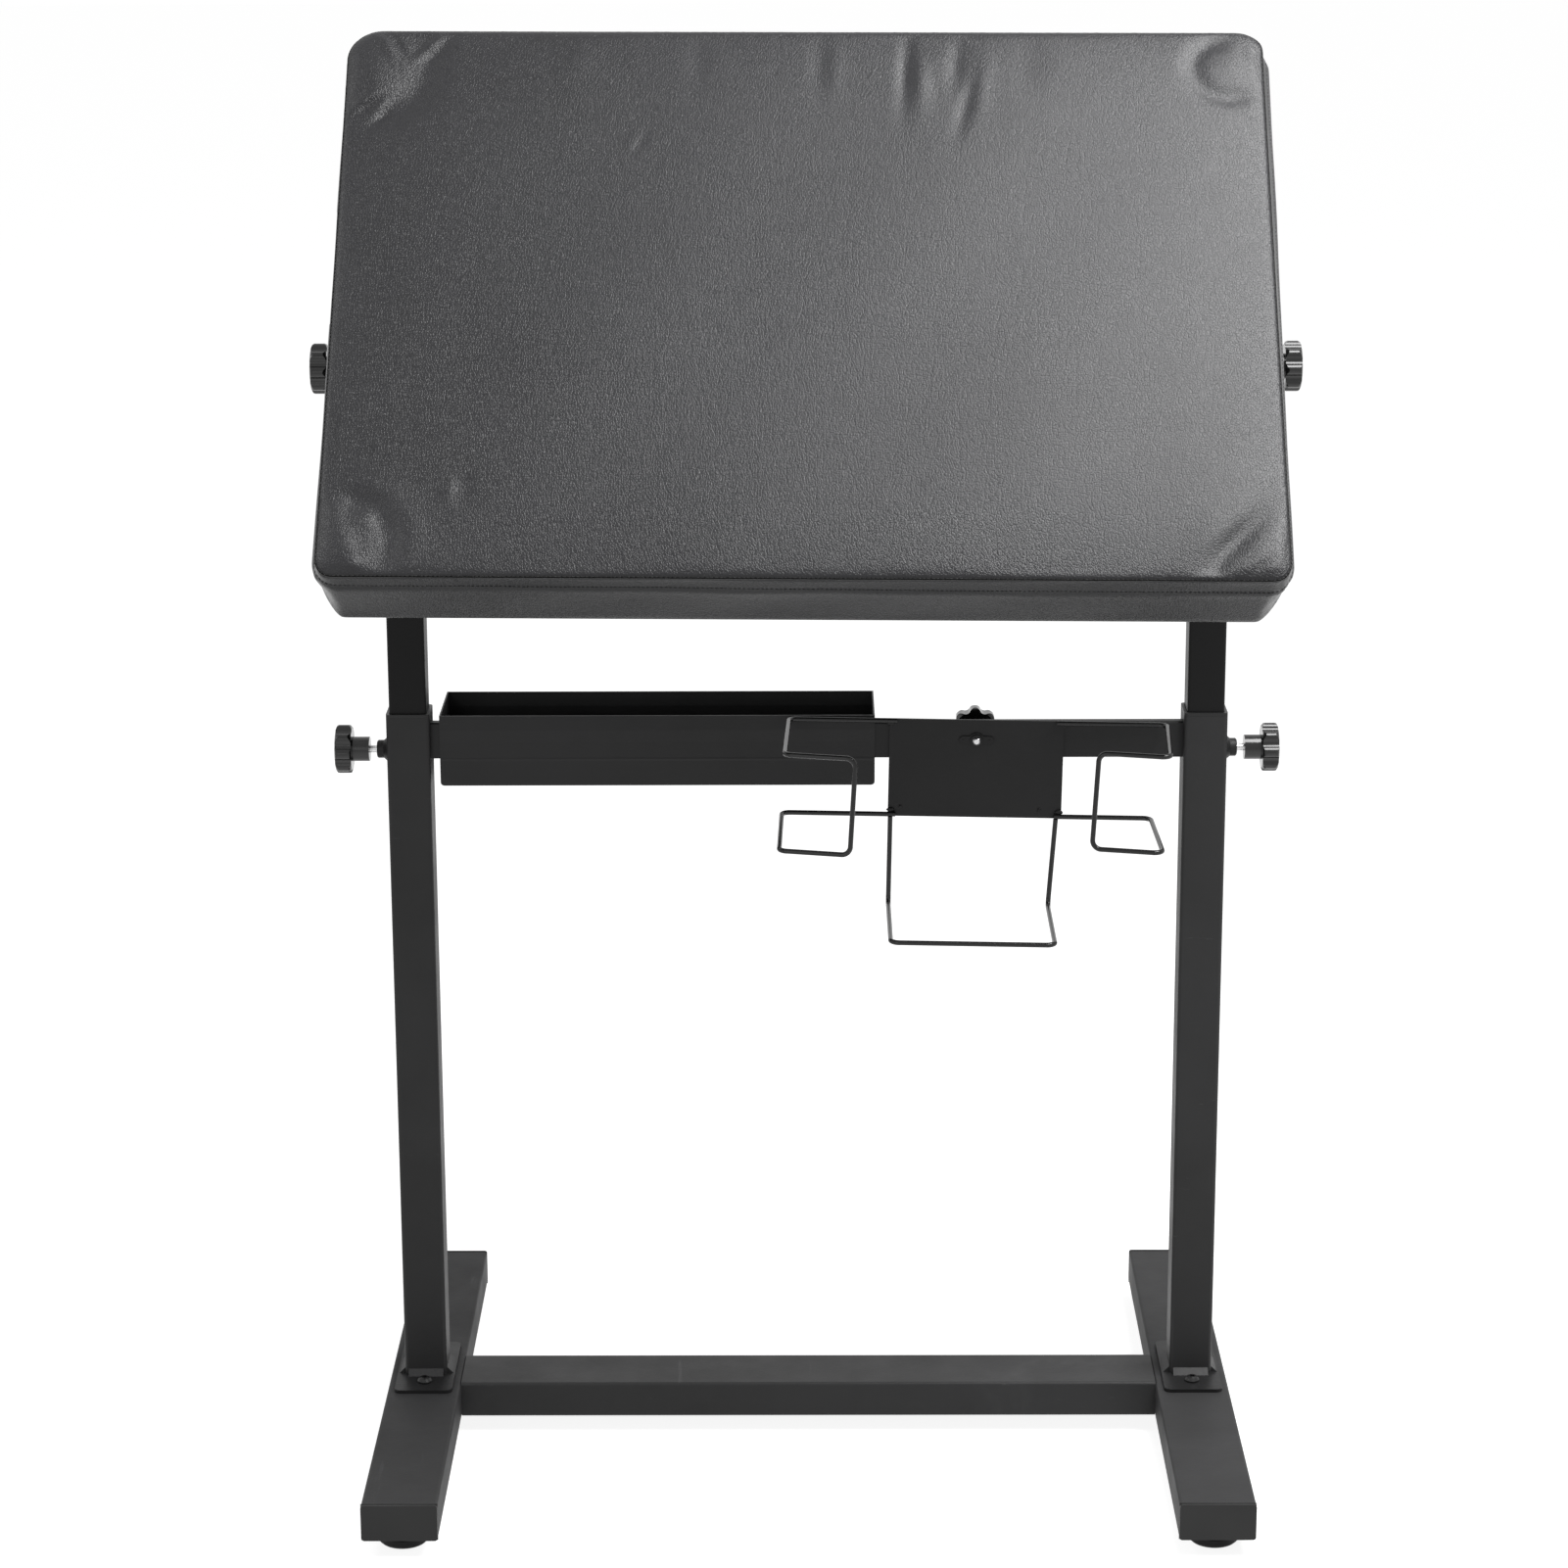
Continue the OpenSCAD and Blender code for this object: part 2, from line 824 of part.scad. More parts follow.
// A closed outline of half width a and half length b
function outline_points(a, b, r) = concat(
    turned(side_points(a, b, r), 0), turned(side_points(b, a, r), 1),
    turned(side_points(a, b, r), 2), turned(side_points(b, a, r), 3)
);

function lifted(points, z) = [for (p = points) [p[0], p[1], z]];

// Padded form, drawn smaller all round by inset
module padded_form(inset) {
    a = pad_w / 2 - inset;
    b = pad_len / 2 - inset;
    r = pad_corner - inset;
    low = pad_under + inset;
    high = pad_face - inset;
    band = high - low;
    sides = [for (s = ring_shares)
        lifted(outline_points(a - s[1] * r, b - s[1] * r, r - s[1] * r), low + s[0] * band)];
    crown = [for (s = crown_shares)
        lifted(outline_points(a * (1 - s[0]), b * (1 - s[0]), r * (1 - s[0])),
            high + s[1] * pad_crown)];
    rings = concat(sides, crown);
    count = len(rings[0]);
    points = concat([for (ring = rings) each ring], [[0, 0, low]], [[0, 0, high + pad_crown]]);
    low_tip = len(rings) * count;
    high_tip = low_tip + 1;
    last = (len(rings) - 1) * count;
    faces = concat(
        [for (k = [0 : len(rings) - 2], i = [0 : count - 1]) each
            let (j = (i + 1) % count, u = k * count, v = u + count)
            [[u + i, v + i, v + j], [u + i, v + j, u + j]]],
        [for (i = [0 : count - 1]) [i, (i + 1) % count, low_tip]],
        [for (i = [0 : count - 1]) [last + (i + 1) % count, last + i, high_tip]]
    );
    polyhedron(points, faces);
}

// Holes for the wood screws through the cover's hem and into the board
module wood_screw_holes(dia) {
    for (side = [-1, 1], x = wood_screw_x, y = [-wood_screw_y, wood_screw_y])
        translate([side * x, y, pad_under - over])
            cylinder(h = board_top + 2 * over - pad_under, d = dia);
}

module pad_board() {
    color(ply_tone)
        on_pad()
            difference() {
                translate([0, 0, board_under])
                    linear_extrude(board_t)
                        round_rect(pad_w - 2 * board_inset, pad_len - 2 * board_inset,
                            pad_corner - board_inset / 2);
                wood_screw_holes(wood_screw_dia + 2 * fit_clear);
            }
}

module pad_foam() {
    color(foam_tone)
        on_pad()
            intersection() {
                padded_form(leather_t + soft_clear);
                translate([-pad_w / 2, -pad_len / 2, board_top + soft_clear])
                    cube([pad_w, pad_len, pad_t]);
            }
}

// Leather cover: a crowned shell whose hem is turned in under the board
module pad_cover() {
    color(leather)
        on_pad()
            difference() {
                padded_form(0);
                padded_form(leather_t);
                translate([-pad_w / 2 + hem_w, -pad_len / 2 + hem_w, pad_under - over])
                    cube([pad_w - 2 * hem_w, pad_len - 2 * hem_w, board_t]);
                wood_screw_holes(wood_screw_dia + 2 * hole_clear);
            }
}

module pad_dust_cover() {
    color(cloth_tone)
        on_pad()
            translate([-pad_w / 2 + hem_w + soft_clear, -pad_len / 2 + hem_w + soft_clear,
                board_under - soft_clear - dust_t])
                cube([pad_w - 2 * hem_w - 2 * soft_clear, pad_len - 2 * hem_w - 2 * soft_clear,
                    dust_t]);
}

// Row of zip teeth on its tape, along the pad's left side
module zip_chain() {
    pitch = zip_tooth * 2;
    count = floor(zip_len / pitch);
    color(plastic)
        on_pad()
            translate([-zip_x, zip_top_y, zip_z]) {
                translate([-zip_tooth / 2, -zip_len, -zip_w / 2])
                    cube([zip_tooth / 2, zip_len, zip_w]);
                for (i = [0 : count - 1])
                    translate([-zip_t, -(i + 1) * pitch, -zip_w / 4])
                        cube([zip_t - zip_tooth / 4, zip_tooth, zip_w / 2]);
            }
}

module zip_slider() {
    color(bright)
        on_pad()
            translate([-zip_x, zip_top_y - zip_len - soft_clear, zip_z])
                rotate([0, -90, 0])
                    difference() {
                        linear_extrude(slider_t)
                            translate([0, -slider_len / 2])
                                round_rect(slider_w, slider_len, slider_w / 4);
                        translate([-slider_w / 2 - over, -slider_len / 2 - pull_t, slider_t - pull_t])
                            cube([slider_w + 2 * over, 2 * pull_t, pull_t * 2 / 3]);
                    }
}

// Pull tab with a round hole, hanging down the slope from the slider
module zip_pull() {
    color(bright)
        on_pad()
            translate([-zip_x, zip_top_y - zip_len - slider_len - 2 * soft_clear,
                zip_z])
                rotate([0, -90, 0])
                    difference() {
                        linear_extrude(pull_t * 2)
                            translate([0, -pull_len / 2])
                                round_rect(pull_w, pull_len, pull_w / 3);
                        translate([0, -pull_len * 0.68, -over])
                            cylinder(h = pull_t * 2 + 2 * over, d = pull_w * 0.5);
                    }
}

module holder_plate() {
    color(steel_dark)
        on_holder()
            difference() {
                translate([0, plate_back, (plate_up - plate_down) / 2])
                    rotate([90, 0, 0])
                        linear_extrude(plate_t)
                            round_rect(plate_w, plate_up + plate_down, plate_t);
                translate([0, plate_back + over, 0])
                    rotate([90, 0, 0])
                        cylinder(h = plate_t + 2 * over, d = stud_dia + 2 * hole_clear);
            }
}

// Weld nut with two tabs, on the plate's front
module holder_weld_nut() {
    color(steel_dark)
        on_holder()
            translate([0, plate_front, 0])
                rotate([90, 0, 0])
                    difference() {
                        union() {
                            linear_extrude(weld_nut_t) {
                                circle(r = weld_nut_r);
                                for (x = [-1, 1]) {
                                    translate([x * (weld_nut_tab - weld_nut_tab_r), 0])
                                        circle(r = weld_nut_tab_r);
                                    translate([x * (weld_nut_tab - weld_nut_tab_r) / 2, 0])
                                        square([weld_nut_tab - weld_nut_tab_r, weld_nut_tab_r * 2],
                                            center = true);
                                }
                            }
                            cylinder(h = weld_nut_h, r = weld_nut_r - weld_nut_t);
                            for (x = [-1, 1])
                                translate([x * (weld_nut_tab - weld_nut_tab_r), 0, 0])
                                    cylinder(h = weld_nut_t + pip_r / 2, r = pip_r);
                        }
                        translate([0, 0, -over])
                            cylinder(h = weld_nut_h + 2 * over, d = stud_dia + 2 * fit_clear);
                    }
}

function unit(v) = v / norm(v);
function placing(x, y, z, o) = [
    [x[0], y[0], z[0], o[0]], [x[1], y[1], z[1], o[1]], [x[2], y[2], z[2], o[2]], [0, 0, 0, 1]
];
// At point i of a bent wire: the turn, its axis, the length it takes from each run,
// and how far each run reaches into the bend
function turn_at(p, i) = acos(unit(p[i] - p[i - 1]) * unit(p[i + 1] - p[i]));
function axis_at(p, i) = unit(cross(p[i] - p[i - 1], p[i + 1] - p[i]));
function is_end(p, i) = i == 0 || i == len(p) - 1;
function trim_at(p, i) = is_end(p, i) ? 0 : wire_bend * tan(turn_at(p, i) / 2);
function lap_at(p, i) = is_end(p, i) ? 0 : bend_lap;

// Round wire through points p, bent at a steady radius at each inner point and
// a hair fuller in the bends, where the straight runs end inside it
module bent_wire(p) {
    for (i = [0 : len(p) - 2]) {
        d = unit(p[i + 1] - p[i]);
        side = axis_at(p, max(i, 1));
        from = trim_at(p, i) - lap_at(p, i);
        to = norm(p[i + 1] - p[i]) - trim_at(p, i + 1) + lap_at(p, i + 1);
        multmatrix(placing(side, cross(d, side), d, p[i] + d * from))
            cylinder(h = to - from, r = wire_r);
    }
    for (i = [1 : len(p) - 2]) {
        d = unit(p[i] - p[i - 1]);
        axis = axis_at(p, i);
        inward = cross(axis, d);
        multmatrix(placing(-inward, d, axis, p[i] - d * trim_at(p, i) + inward * wire_bend))
            rotate_extrude(angle = turn_at(p, i))
                translate([wire_bend, 0])
                    circle(r = wire_r + bend_swell);
    }
}

// One bottle loop: out along the plate's top, round the bottle, down the inner front
// corner, and back along the plate's foot. dir is -1 for the left loop and 1 for the right.
module bottle_loop(dir, reach, top_reach, foot_reach, depth) {
    plate_x = dir * (plate_w / 2 - wire_lap);
    inward = unit([-dir * front_wire_w, dir * front_skew, 0]);
    lean = dir * inward * loop_lean;
    corner = [dir * reach, wire_y - depth, 0];
    high = corner - lean / 2 + [0, 0, wire_top_z];
    low = corner + lean / 2 + [0, 0, wire_low_z];
    on_holder()
        bent_wire([
            [plate_x, wire_y, wire_top_z],
            [dir * top_reach, wire_y, wire_top_z],
            high,
            high + inward * front_wire_w,
            low + inward * front_wire_w,
            low,
            [dir * foot_reach, wire_y, wire_low_z],
            [plate_x, wire_y, wire_low_z]
        ]);
}

module left_bottle_loop() {
    color(plastic)
        bottle_loop(-1, left_reach, left_top_reach, left_reach, left_depth);
}

module right_bottle_loop() {
    color(plastic)
        bottle_loop(1, right_reach, right_top_reach, right_foot_reach, right_depth);
}

// Centre loop: down from the plate's lower corners, forward, and across the front
module centre_loop() {
    low_z = -plate_down - centre_drop;
    right_x = centre_half - centre_in - centre_lean;
    color(plastic)
        on_holder()
            bent_wire([
                [-centre_half, wire_y, wire_low_z - wire_r - fit_clear],
                [-centre_half, wire_y, low_z],
                [-centre_half, wire_y - centre_depth, low_z],
                [right_x, wire_y - centre_depth, low_z],
                [right_x, wire_y, low_z],
                [right_x + centre_lean, wire_y, wire_low_z - wire_r - fit_clear]
            ]);
}

// Star outline: lobes and valleys that meet on a common tangent
module star_outline() {
    half = 180 / lobes;
    valley_at = lobe_at * cos(half)
        + sqrt(pow(lobe_r + valley_r, 2) - pow(lobe_at * sin(half), 2));
    difference() {
        union() {
            polygon([for (i = [0 : 2 * lobes - 1])
                let (reach = i % 2 == 0 ? lobe_at : valley_at)
                [reach * cos(i * half), reach * sin(i * half)]]);
            for (i = [0 : lobes - 1])
                rotate(i * 2 * half)
                    translate([lobe_at, 0])
                        circle(r = lobe_r);
        }
        for (i = [0 : lobes - 1])
            rotate((2 * i + 1) * half)
                translate([valley_at, 0])
                    circle(r = valley_r);
    }
}

// Star knob along z: the hub's face at z = 0 and the head beyond it
module star_knob() {
    top = hub_len + knob_t;
    difference() {
        union() {
            cylinder(h = hub_len + knob_round, d = hub_dia);
            intersection() {
                translate([0, 0, hub_len])
                    linear_extrude(knob_t)
                        star_outline();
                rotate_extrude()
                    polygon([
                        [0, hub_len], [knob_r - knob_round, hub_len],
                        [knob_r - knob_round / 3, hub_len + knob_round / 3], [knob_r, hub_len + knob_round],
                        [knob_r, top - knob_round], [knob_r - knob_round / 3, top - knob_round / 3],
                        [knob_r - knob_round, top], [0, top]
                    ]);
            }
        }
        translate([0, 0, top - dish_deep])
            cylinder(h = dish_deep + over, r = dish_r);
        translate([0, 0, -over])
            cylinder(h = stud_sunk + over + fit_clear, d = stud_dia + 2 * fit_clear);
    }
}

module stud(len) {
    tip = stud_dia / 6;
    rotate_extrude()
        polygon([[0, 0], [stud_dia / 2 - tip, 0], [stud_dia / 2, tip], [stud_dia / 2, len], [0, len]]);
}

// Axis of a height clamp, z outwards, with its origin on the tip of the stud
module on_height_clamp(side) {
    at_side(side)
        translate([stud_tip_x, 0, clamp_z])
            rotate([0, 90, 0])
                children();
}

module height_knob(side) {
    on_height_clamp(side)
        translate([0, 0, height_hub_x - stud_tip_x])
            star_knob();
}

module left_height_knob() {
    color(plastic)
        height_knob(-1);
}

module right_height_knob() {
    color(plastic)
        height_knob(1);
}

module left_height_stud() {
    color(bright)
        on_height_clamp(-1)
            stud(height_hub_x - stud_tip_x + stud_sunk);
}

module right_height_stud() {
    color(bright)
        on_height_clamp(1)
            stud(height_hub_x - stud_tip_x + stud_sunk);
}

// Axis of a tilt clamp, z outwards, with its origin inside the upper upright
module on_tilt_clamp(side) {
    at_side(side)
        translate([rail_x, 0, pivot_z])
            rotate([0, 90, 0])
                children();
}

module tilt_knob(side) {
    on_tilt_clamp(side)
        translate([0, 0, tilt_hub_x - rail_x])
            star_knob();
}

module left_tilt_knob() {
    color(plastic)
        tilt_knob(-1);
}

module right_tilt_knob() {
    color(plastic)
        tilt_knob(1);
}

module left_tilt_stud() {
    color(bright)
        on_tilt_clamp(-1)
            stud(tilt_hub_x - rail_x + stud_sunk);
}

module right_tilt_stud() {
    color(bright)
        on_tilt_clamp(1)
            stud(tilt_hub_x - rail_x + stud_sunk);
}

// The holder's clamp comes from behind the bar
module holder_knob() {
    color(plastic)
        translate([holder_x, bar_back + face_clear, bar_z])
            rotate([-90, 0, 0])
                star_knob();
}

module holder_stud() {
    reach = bar_back + face_clear - plate_front + weld_nut_h + holder_stud_out;
    color(bright)
        translate([holder_x, bar_back + face_clear - reach, bar_z])
            rotate([-90, 0, 0])
                stud(reach + stud_sunk);
}

left_rail();
right_rail();
rail_end_caps();
floor_glides();
crossbar();
crossbar_end_plates();
crossbar_bolts();
left_base_plate();
right_base_plate();
base_plate_screws();
base_plate_nuts();
left_lower_upright();
right_lower_upright();
left_bush();
right_bush();
left_clamp_boss();
right_clamp_boss();
upper_bar();
tray();
left_upper_upright();
right_upper_upright();
upright_top_caps();
left_pivot_boss();
right_pivot_boss();
pad_board();
pad_foam();
pad_cover();
pad_dust_cover();
zip_chain();
zip_slider();
zip_pull();
left_tilt_bracket();
right_tilt_bracket();
bracket_screws();
tilt_washers();
holder_plate();
holder_weld_nut();
left_bottle_loop();
right_bottle_loop();
centre_loop();
left_height_knob();
left_height_stud();
right_height_knob();
right_height_stud();
left_tilt_knob();
left_tilt_stud();
right_tilt_knob();
right_tilt_stud();
holder_knob();
holder_stud();
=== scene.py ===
import bpy, json, math
import numpy as np
from mathutils import Vector, Matrix
from mathutils.bvhtree import BVHTree
from mathutils.kdtree import KDTree


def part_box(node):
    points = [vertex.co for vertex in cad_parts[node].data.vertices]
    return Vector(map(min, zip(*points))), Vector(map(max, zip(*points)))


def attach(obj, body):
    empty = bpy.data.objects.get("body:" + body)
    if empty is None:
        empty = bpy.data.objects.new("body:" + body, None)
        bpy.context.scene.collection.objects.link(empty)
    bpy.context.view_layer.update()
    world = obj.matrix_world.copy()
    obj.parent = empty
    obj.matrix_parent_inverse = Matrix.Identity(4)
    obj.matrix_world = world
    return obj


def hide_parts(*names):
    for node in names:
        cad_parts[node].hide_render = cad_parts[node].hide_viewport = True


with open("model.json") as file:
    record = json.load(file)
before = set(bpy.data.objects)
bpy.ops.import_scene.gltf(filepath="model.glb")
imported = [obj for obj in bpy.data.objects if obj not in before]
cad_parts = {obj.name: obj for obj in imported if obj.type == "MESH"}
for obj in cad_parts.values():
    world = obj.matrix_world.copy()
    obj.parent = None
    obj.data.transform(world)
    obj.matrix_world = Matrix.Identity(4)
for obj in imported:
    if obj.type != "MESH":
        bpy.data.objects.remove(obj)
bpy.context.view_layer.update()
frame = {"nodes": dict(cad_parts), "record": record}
NODES = frame["nodes"]
MM = 0.001

# ---------------------------------------------------------------- camera
YAW, PITCH, ROLL = math.radians(-0.34), math.radians(15.52), math.radians(-0.22)
FOCAL_PX, FRAME_PX = 4220.9, 1601
CAMERA_PLACE = (0.00074, -3.2223, 1.4506)
SENSOR_MM, CLIP_END = 36, 100


def make_camera():
    data = bpy.data.cameras.new("photo_camera")
    cam = bpy.data.objects.new("photo_camera", data)
    bpy.context.scene.collection.objects.link(cam)
    ahead = Vector((math.sin(YAW) * math.cos(PITCH), math.cos(YAW) * math.cos(PITCH),
                    -math.sin(PITCH)))
    right = Vector((math.cos(YAW), -math.sin(YAW), 0))
    above = right.cross(ahead)
    rolled_right = right * math.cos(ROLL) + above * math.sin(ROLL)
    rolled_above = above * math.cos(ROLL) - right * math.sin(ROLL)
    pose = Matrix((rolled_right, rolled_above, -ahead)).transposed().to_4x4()
    pose.translation = Vector(CAMERA_PLACE)
    cam.matrix_world = pose
    data.sensor_fit = "HORIZONTAL"
    data.sensor_width = SENSOR_MM
    data.lens = SENSOR_MM * FOCAL_PX / FRAME_PX
    data.clip_end = CLIP_END
    bpy.context.scene.camera = cam


make_camera()


# ---------------------------------------------------------------- materials
class Mat:
    """A Principled material with short calls for procedural nodes."""

    def __init__(self, name):
        self.m = bpy.data.materials.new(name)
        self.m.use_nodes = True
        self.nt = self.m.node_tree
        self.bsdf = self.nt.nodes["Principled BSDF"]
        self.coord = self.nt.nodes.new("ShaderNodeTexCoord").outputs["Object"]

    def set(self, **values):
        for key, value in values.items():
            self.bsdf.inputs[key.replace("_", " ")].default_value = value

    def link(self, a, b):
        self.nt.links.new(a, b)

    def mapped(self, scale=(1, 1, 1), rot=(0, 0, 0)):
        n = self.nt.nodes.new("ShaderNodeMapping")
        n.inputs["Scale"].default_value = scale
        n.inputs["Rotation"].default_value = rot
        self.link(self.coord, n.inputs["Vector"])
        return n.outputs["Vector"]

    def noise(self, scale, detail=3, rough=0.5, vec=None, distortion=0.0):
        n = self.nt.nodes.new("ShaderNodeTexNoise")
        n.inputs["Scale"].default_value = scale
        n.inputs["Detail"].default_value = detail
        n.inputs["Roughness"].default_value = rough
        n.inputs["Distortion"].default_value = distortion
        self.link(vec or self.coord, n.inputs["Vector"])
        return n.outputs["Fac"]

    def voronoi(self, scale, feature="F1", vec=None, randomness=1.0):
        n = self.nt.nodes.new("ShaderNodeTexVoronoi")
        n.feature = feature
        n.inputs["Scale"].default_value = scale
        n.inputs["Randomness"].default_value = randomness
        self.link(vec or self.coord, n.inputs["Vector"])
        return n.outputs["Distance"]

    def wave(self, scale, vec=None, distortion=0.0, direction="X", detail=2.0):
        n = self.nt.nodes.new("ShaderNodeTexWave")
        n.bands_direction = direction
        n.inputs["Scale"].default_value = scale
        n.inputs["Distortion"].default_value = distortion
        n.inputs["Detail"].default_value = detail
        self.link(vec or self.coord, n.inputs["Vector"])
        return n.outputs["Fac"]

    def ramp(self, fac, stops):
        n = self.nt.nodes.new("ShaderNodeValToRGB")
        els = n.color_ramp.elements
        while len(els) < len(stops):
            els.new(0.5)
        for e, (pos, col) in zip(els, stops):
            e.position = pos
            e.color = (*col, 1) if hasattr(col, "__len__") else (col, col, col, 1)
        self.link(fac, n.inputs["Fac"])
        return n.outputs["Color"]

    def math(self, op, a, b):
        n = self.nt.nodes.new("ShaderNodeMath")
        n.operation = op
        for i, v in enumerate((a, b)):
            if hasattr(v, "default_value"):
                self.link(v, n.inputs[i])
            else:
                n.inputs[i].default_value = v
        return n.outputs[0]

    def weighted(self, a, of_a, b, of_b):
        return self.math("ADD", self.math("MULTIPLY", a, of_a), self.math("MULTIPLY", b, of_b))

    def span(self, fac, low, high, to_low, to_high):
        n = self.nt.nodes.new("ShaderNodeMapRange")
        names = ("From Min", "From Max", "To Min", "To Max")
        for name, value in zip(names, (low, high, to_low, to_high)):
            n.inputs[name].default_value = value
        self.link(fac, n.inputs["Value"])
        return n.outputs["Result"]

    def ridge(self, height, half):
        """1 on the level plane at this height, fading to 0 at half a width above and below."""
        n = self.nt.nodes.new("ShaderNodeSeparateXYZ")
        self.link(self.coord, n.inputs[0])
        off = self.math("ABSOLUTE", self.math("SUBTRACT", n.outputs["Z"], height), 0.0)
        return self.span(off, 0.0, half, 1.0, 0.0)

    def bump(self, height, distance, strength=1.0, normal=None):
        n = self.nt.nodes.new("ShaderNodeBump")
        n.inputs["Distance"].default_value = distance
        n.inputs["Strength"].default_value = strength
        self.link(height, n.inputs["Height"])
        if normal is not None:
            self.link(normal, n.inputs["Normal"])
        return n.outputs["Normal"]

    def color(self, out):
        self.link(out, self.bsdf.inputs["Base Color"])

    def rough(self, out):
        self.link(out, self.bsdf.inputs["Roughness"])

    def normal(self, out):
        self.link(out, self.bsdf.inputs["Normal"])


def grey(value, tint=(1, 1, 1)):
    return tuple(value * t for t in tint)


# bump depths in metres
PEEL_FINE, PEEL_BROAD = 0.00006, 0.00008
RIDGE_SHARP, RIDGE_SOFT = 0.0005, 0.0006
GRAIN_DEPTH, WEAVE_DEPTH, CELL_DEPTH = 0.00016, 0.0002, 0.0006
PLY_DEPTH, MOULD_DEPTH, METAL_DEPTH = 0.0003, 0.00003, 0.00005


def powder(name, tone, rough=0.42, coarse=1.0, shine=0.28, wear=1.0, line=None):
    """Powder coat with orange peel, faint rub marks and fine scratches.

    coarse scales the peel, wear the marks, and line is the height in metres of a faint
    pressed ridge with a softer one above it.
    """
    m = Mat(name)
    broad = m.noise(260, 2, 0.5)
    rub = m.span(m.noise(9, 6, 0.62, None, 0.6), 0.56, 0.72, 0.0, 1.0)
    drawn_out = m.mapped((1, 0.09, 5), (0.2, 0, 0.35))
    scratch = m.span(m.noise(34, 4, 0.75, drawn_out), 0.66, 0.71, 0.0, 1.0)
    marks = m.math("MULTIPLY", m.weighted(rub, 0.35, scratch, 0.65), wear)
    mixed = m.weighted(m.noise(7, 4, 0.55), 0.55, marks, 0.35)
    m.color(m.ramp(mixed, [(0.15, grey(tone * 0.85)), (0.4, grey(tone * 1.15, (1, 1, 1.03))),
                           (0.75, grey(tone * 2.6, (1, 1, 1.02)))]))
    worn = m.math("MULTIPLY", marks, -0.09)
    m.rough(m.math("ADD", m.span(m.noise(22, 5, 0.6), 0.3, 0.7, rough - 0.05, rough + 0.06), worn))
    peel = m.bump(m.noise(420, 2, 0.5), PEEL_FINE * coarse)
    skin = m.bump(broad, PEEL_BROAD * coarse, 1.0, peel)
    if line is not None:
        skin = m.bump(m.ridge(line, 0.0016), RIDGE_SHARP, 1.0, skin)
        skin = m.bump(m.ridge(line + 0.024, 0.010), RIDGE_SOFT, 1.0, skin)
    m.normal(skin)
    m.set(Specular_IOR_Level=shine)
    return m.m


def moulded(name, tone, rough=0.32, coat=0.0, shine=0.3):
    """Smooth moulded plastic; also the seam's lighter edge with its painted highlight and its
    near-black line of painted shade.
    """
    m = Mat(name)
    m.color(m.ramp(m.noise(30, 3), [(0.35, grey(tone * 0.85)), (0.65, grey(tone * 1.2))]))
    m.rough(m.span(m.noise(60, 4), 0.3, 0.7, rough - 0.05, rough + 0.07))
    m.normal(m.bump(m.noise(900, 2), MOULD_DEPTH))
    m.set(Coat_Weight=coat, Coat_Roughness=0.12, Specular_IOR_Level=shine)
    return m.m


def leather():
    """Charcoal leather: fine and wide pebbles, laid along the pad's slope, and slow clouds."""
    m = Mat("charcoal_leather")
    along_slope = m.mapped((1, 0.62, 1), (math.radians(-48.7), 0, 0))
    warp = m.noise(160, 3, 0.5)
    cells = m.voronoi(540, "DISTANCE_TO_EDGE", along_slope, 0.95)
    cells_wide = m.voronoi(250, "DISTANCE_TO_EDGE", along_slope, 1.0)
    pebble = m.span(cells, 0.0, 0.16, 0.0, 1.0)
    pebble_wide = m.span(cells_wide, 0.0, 0.12, 0.0, 1.0)
    grain = m.weighted(pebble, 0.6, pebble_wide, 0.5)
    grain = m.math("ADD", grain, m.math("MULTIPLY", warp, 0.5))
    m.color(m.ramp(m.weighted(m.noise(5, 4, 0.6), 0.7, grain, 0.2),
                   [(0.3, (0.009, 0.009, 0.01)), (0.75, (0.016, 0.016, 0.0177))]))
    m.rough(m.span(m.weighted(m.noise(9, 4), 0.8, grain, 0.15), 0.3, 0.8, 0.27, 0.34))
    m.normal(m.bump(grain, GRAIN_DEPTH))
    m.set(Specular_IOR_Level=0.28, Sheen_Weight=0.02, Sheen_Roughness=0.4)
    return m.m


def fabric(name, tone, scale=900):
    m = Mat(name)
    warp, weft = m.wave(scale / 6, direction="X"), m.wave(scale / 6, direction="Z")
    weave = m.math("MULTIPLY", warp, weft)
    m.color(m.ramp(m.weighted(weave, 0.5, m.noise(40, 3), 0.5),
                   [(0.2, grey(tone * 0.7)), (0.8, grey(tone * 1.3))]))
    m.normal(m.bump(weave, WEAVE_DEPTH))
    m.set(Roughness=0.9, Sheen_Weight=0.2)
    return m.m


def metal(name, tone, rough=0.28):
    m = Mat(name)
    m.color(m.ramp(m.noise(90, 4), [(0.3, grey(tone * 0.85, (1, 1, 1.02))), (0.7, grey(tone))]))
    m.rough(m.span(m.noise(150, 4), 0.3, 0.7, rough - 0.08, rough + 0.1))
    m.normal(m.bump(m.noise(500, 3), METAL_DEPTH))
    m.set(Metallic=1.0)
    return m.m


def foam_stuff():
    m = Mat("foam")
    cells = m.voronoi(700)
    m.color(m.ramp(cells, [(0.1, (0.5, 0.46, 0.36)), (0.6, (0.74, 0.7, 0.58))]))
    m.normal(m.bump(cells, CELL_DEPTH))
    m.set(Roughness=0.95)
    return m.m


def plywood():
    m = Mat("plywood")
    grain = m.wave(14, m.mapped((0.25, 1, 1)), 9, "Y")
    m.color(m.ramp(grain, [(0.2, (0.36, 0.22, 0.1)), (0.8, (0.55, 0.37, 0.2))]))
    m.normal(m.bump(grain, PLY_DEPTH))
    m.set(Roughness=0.7)
    return m.m


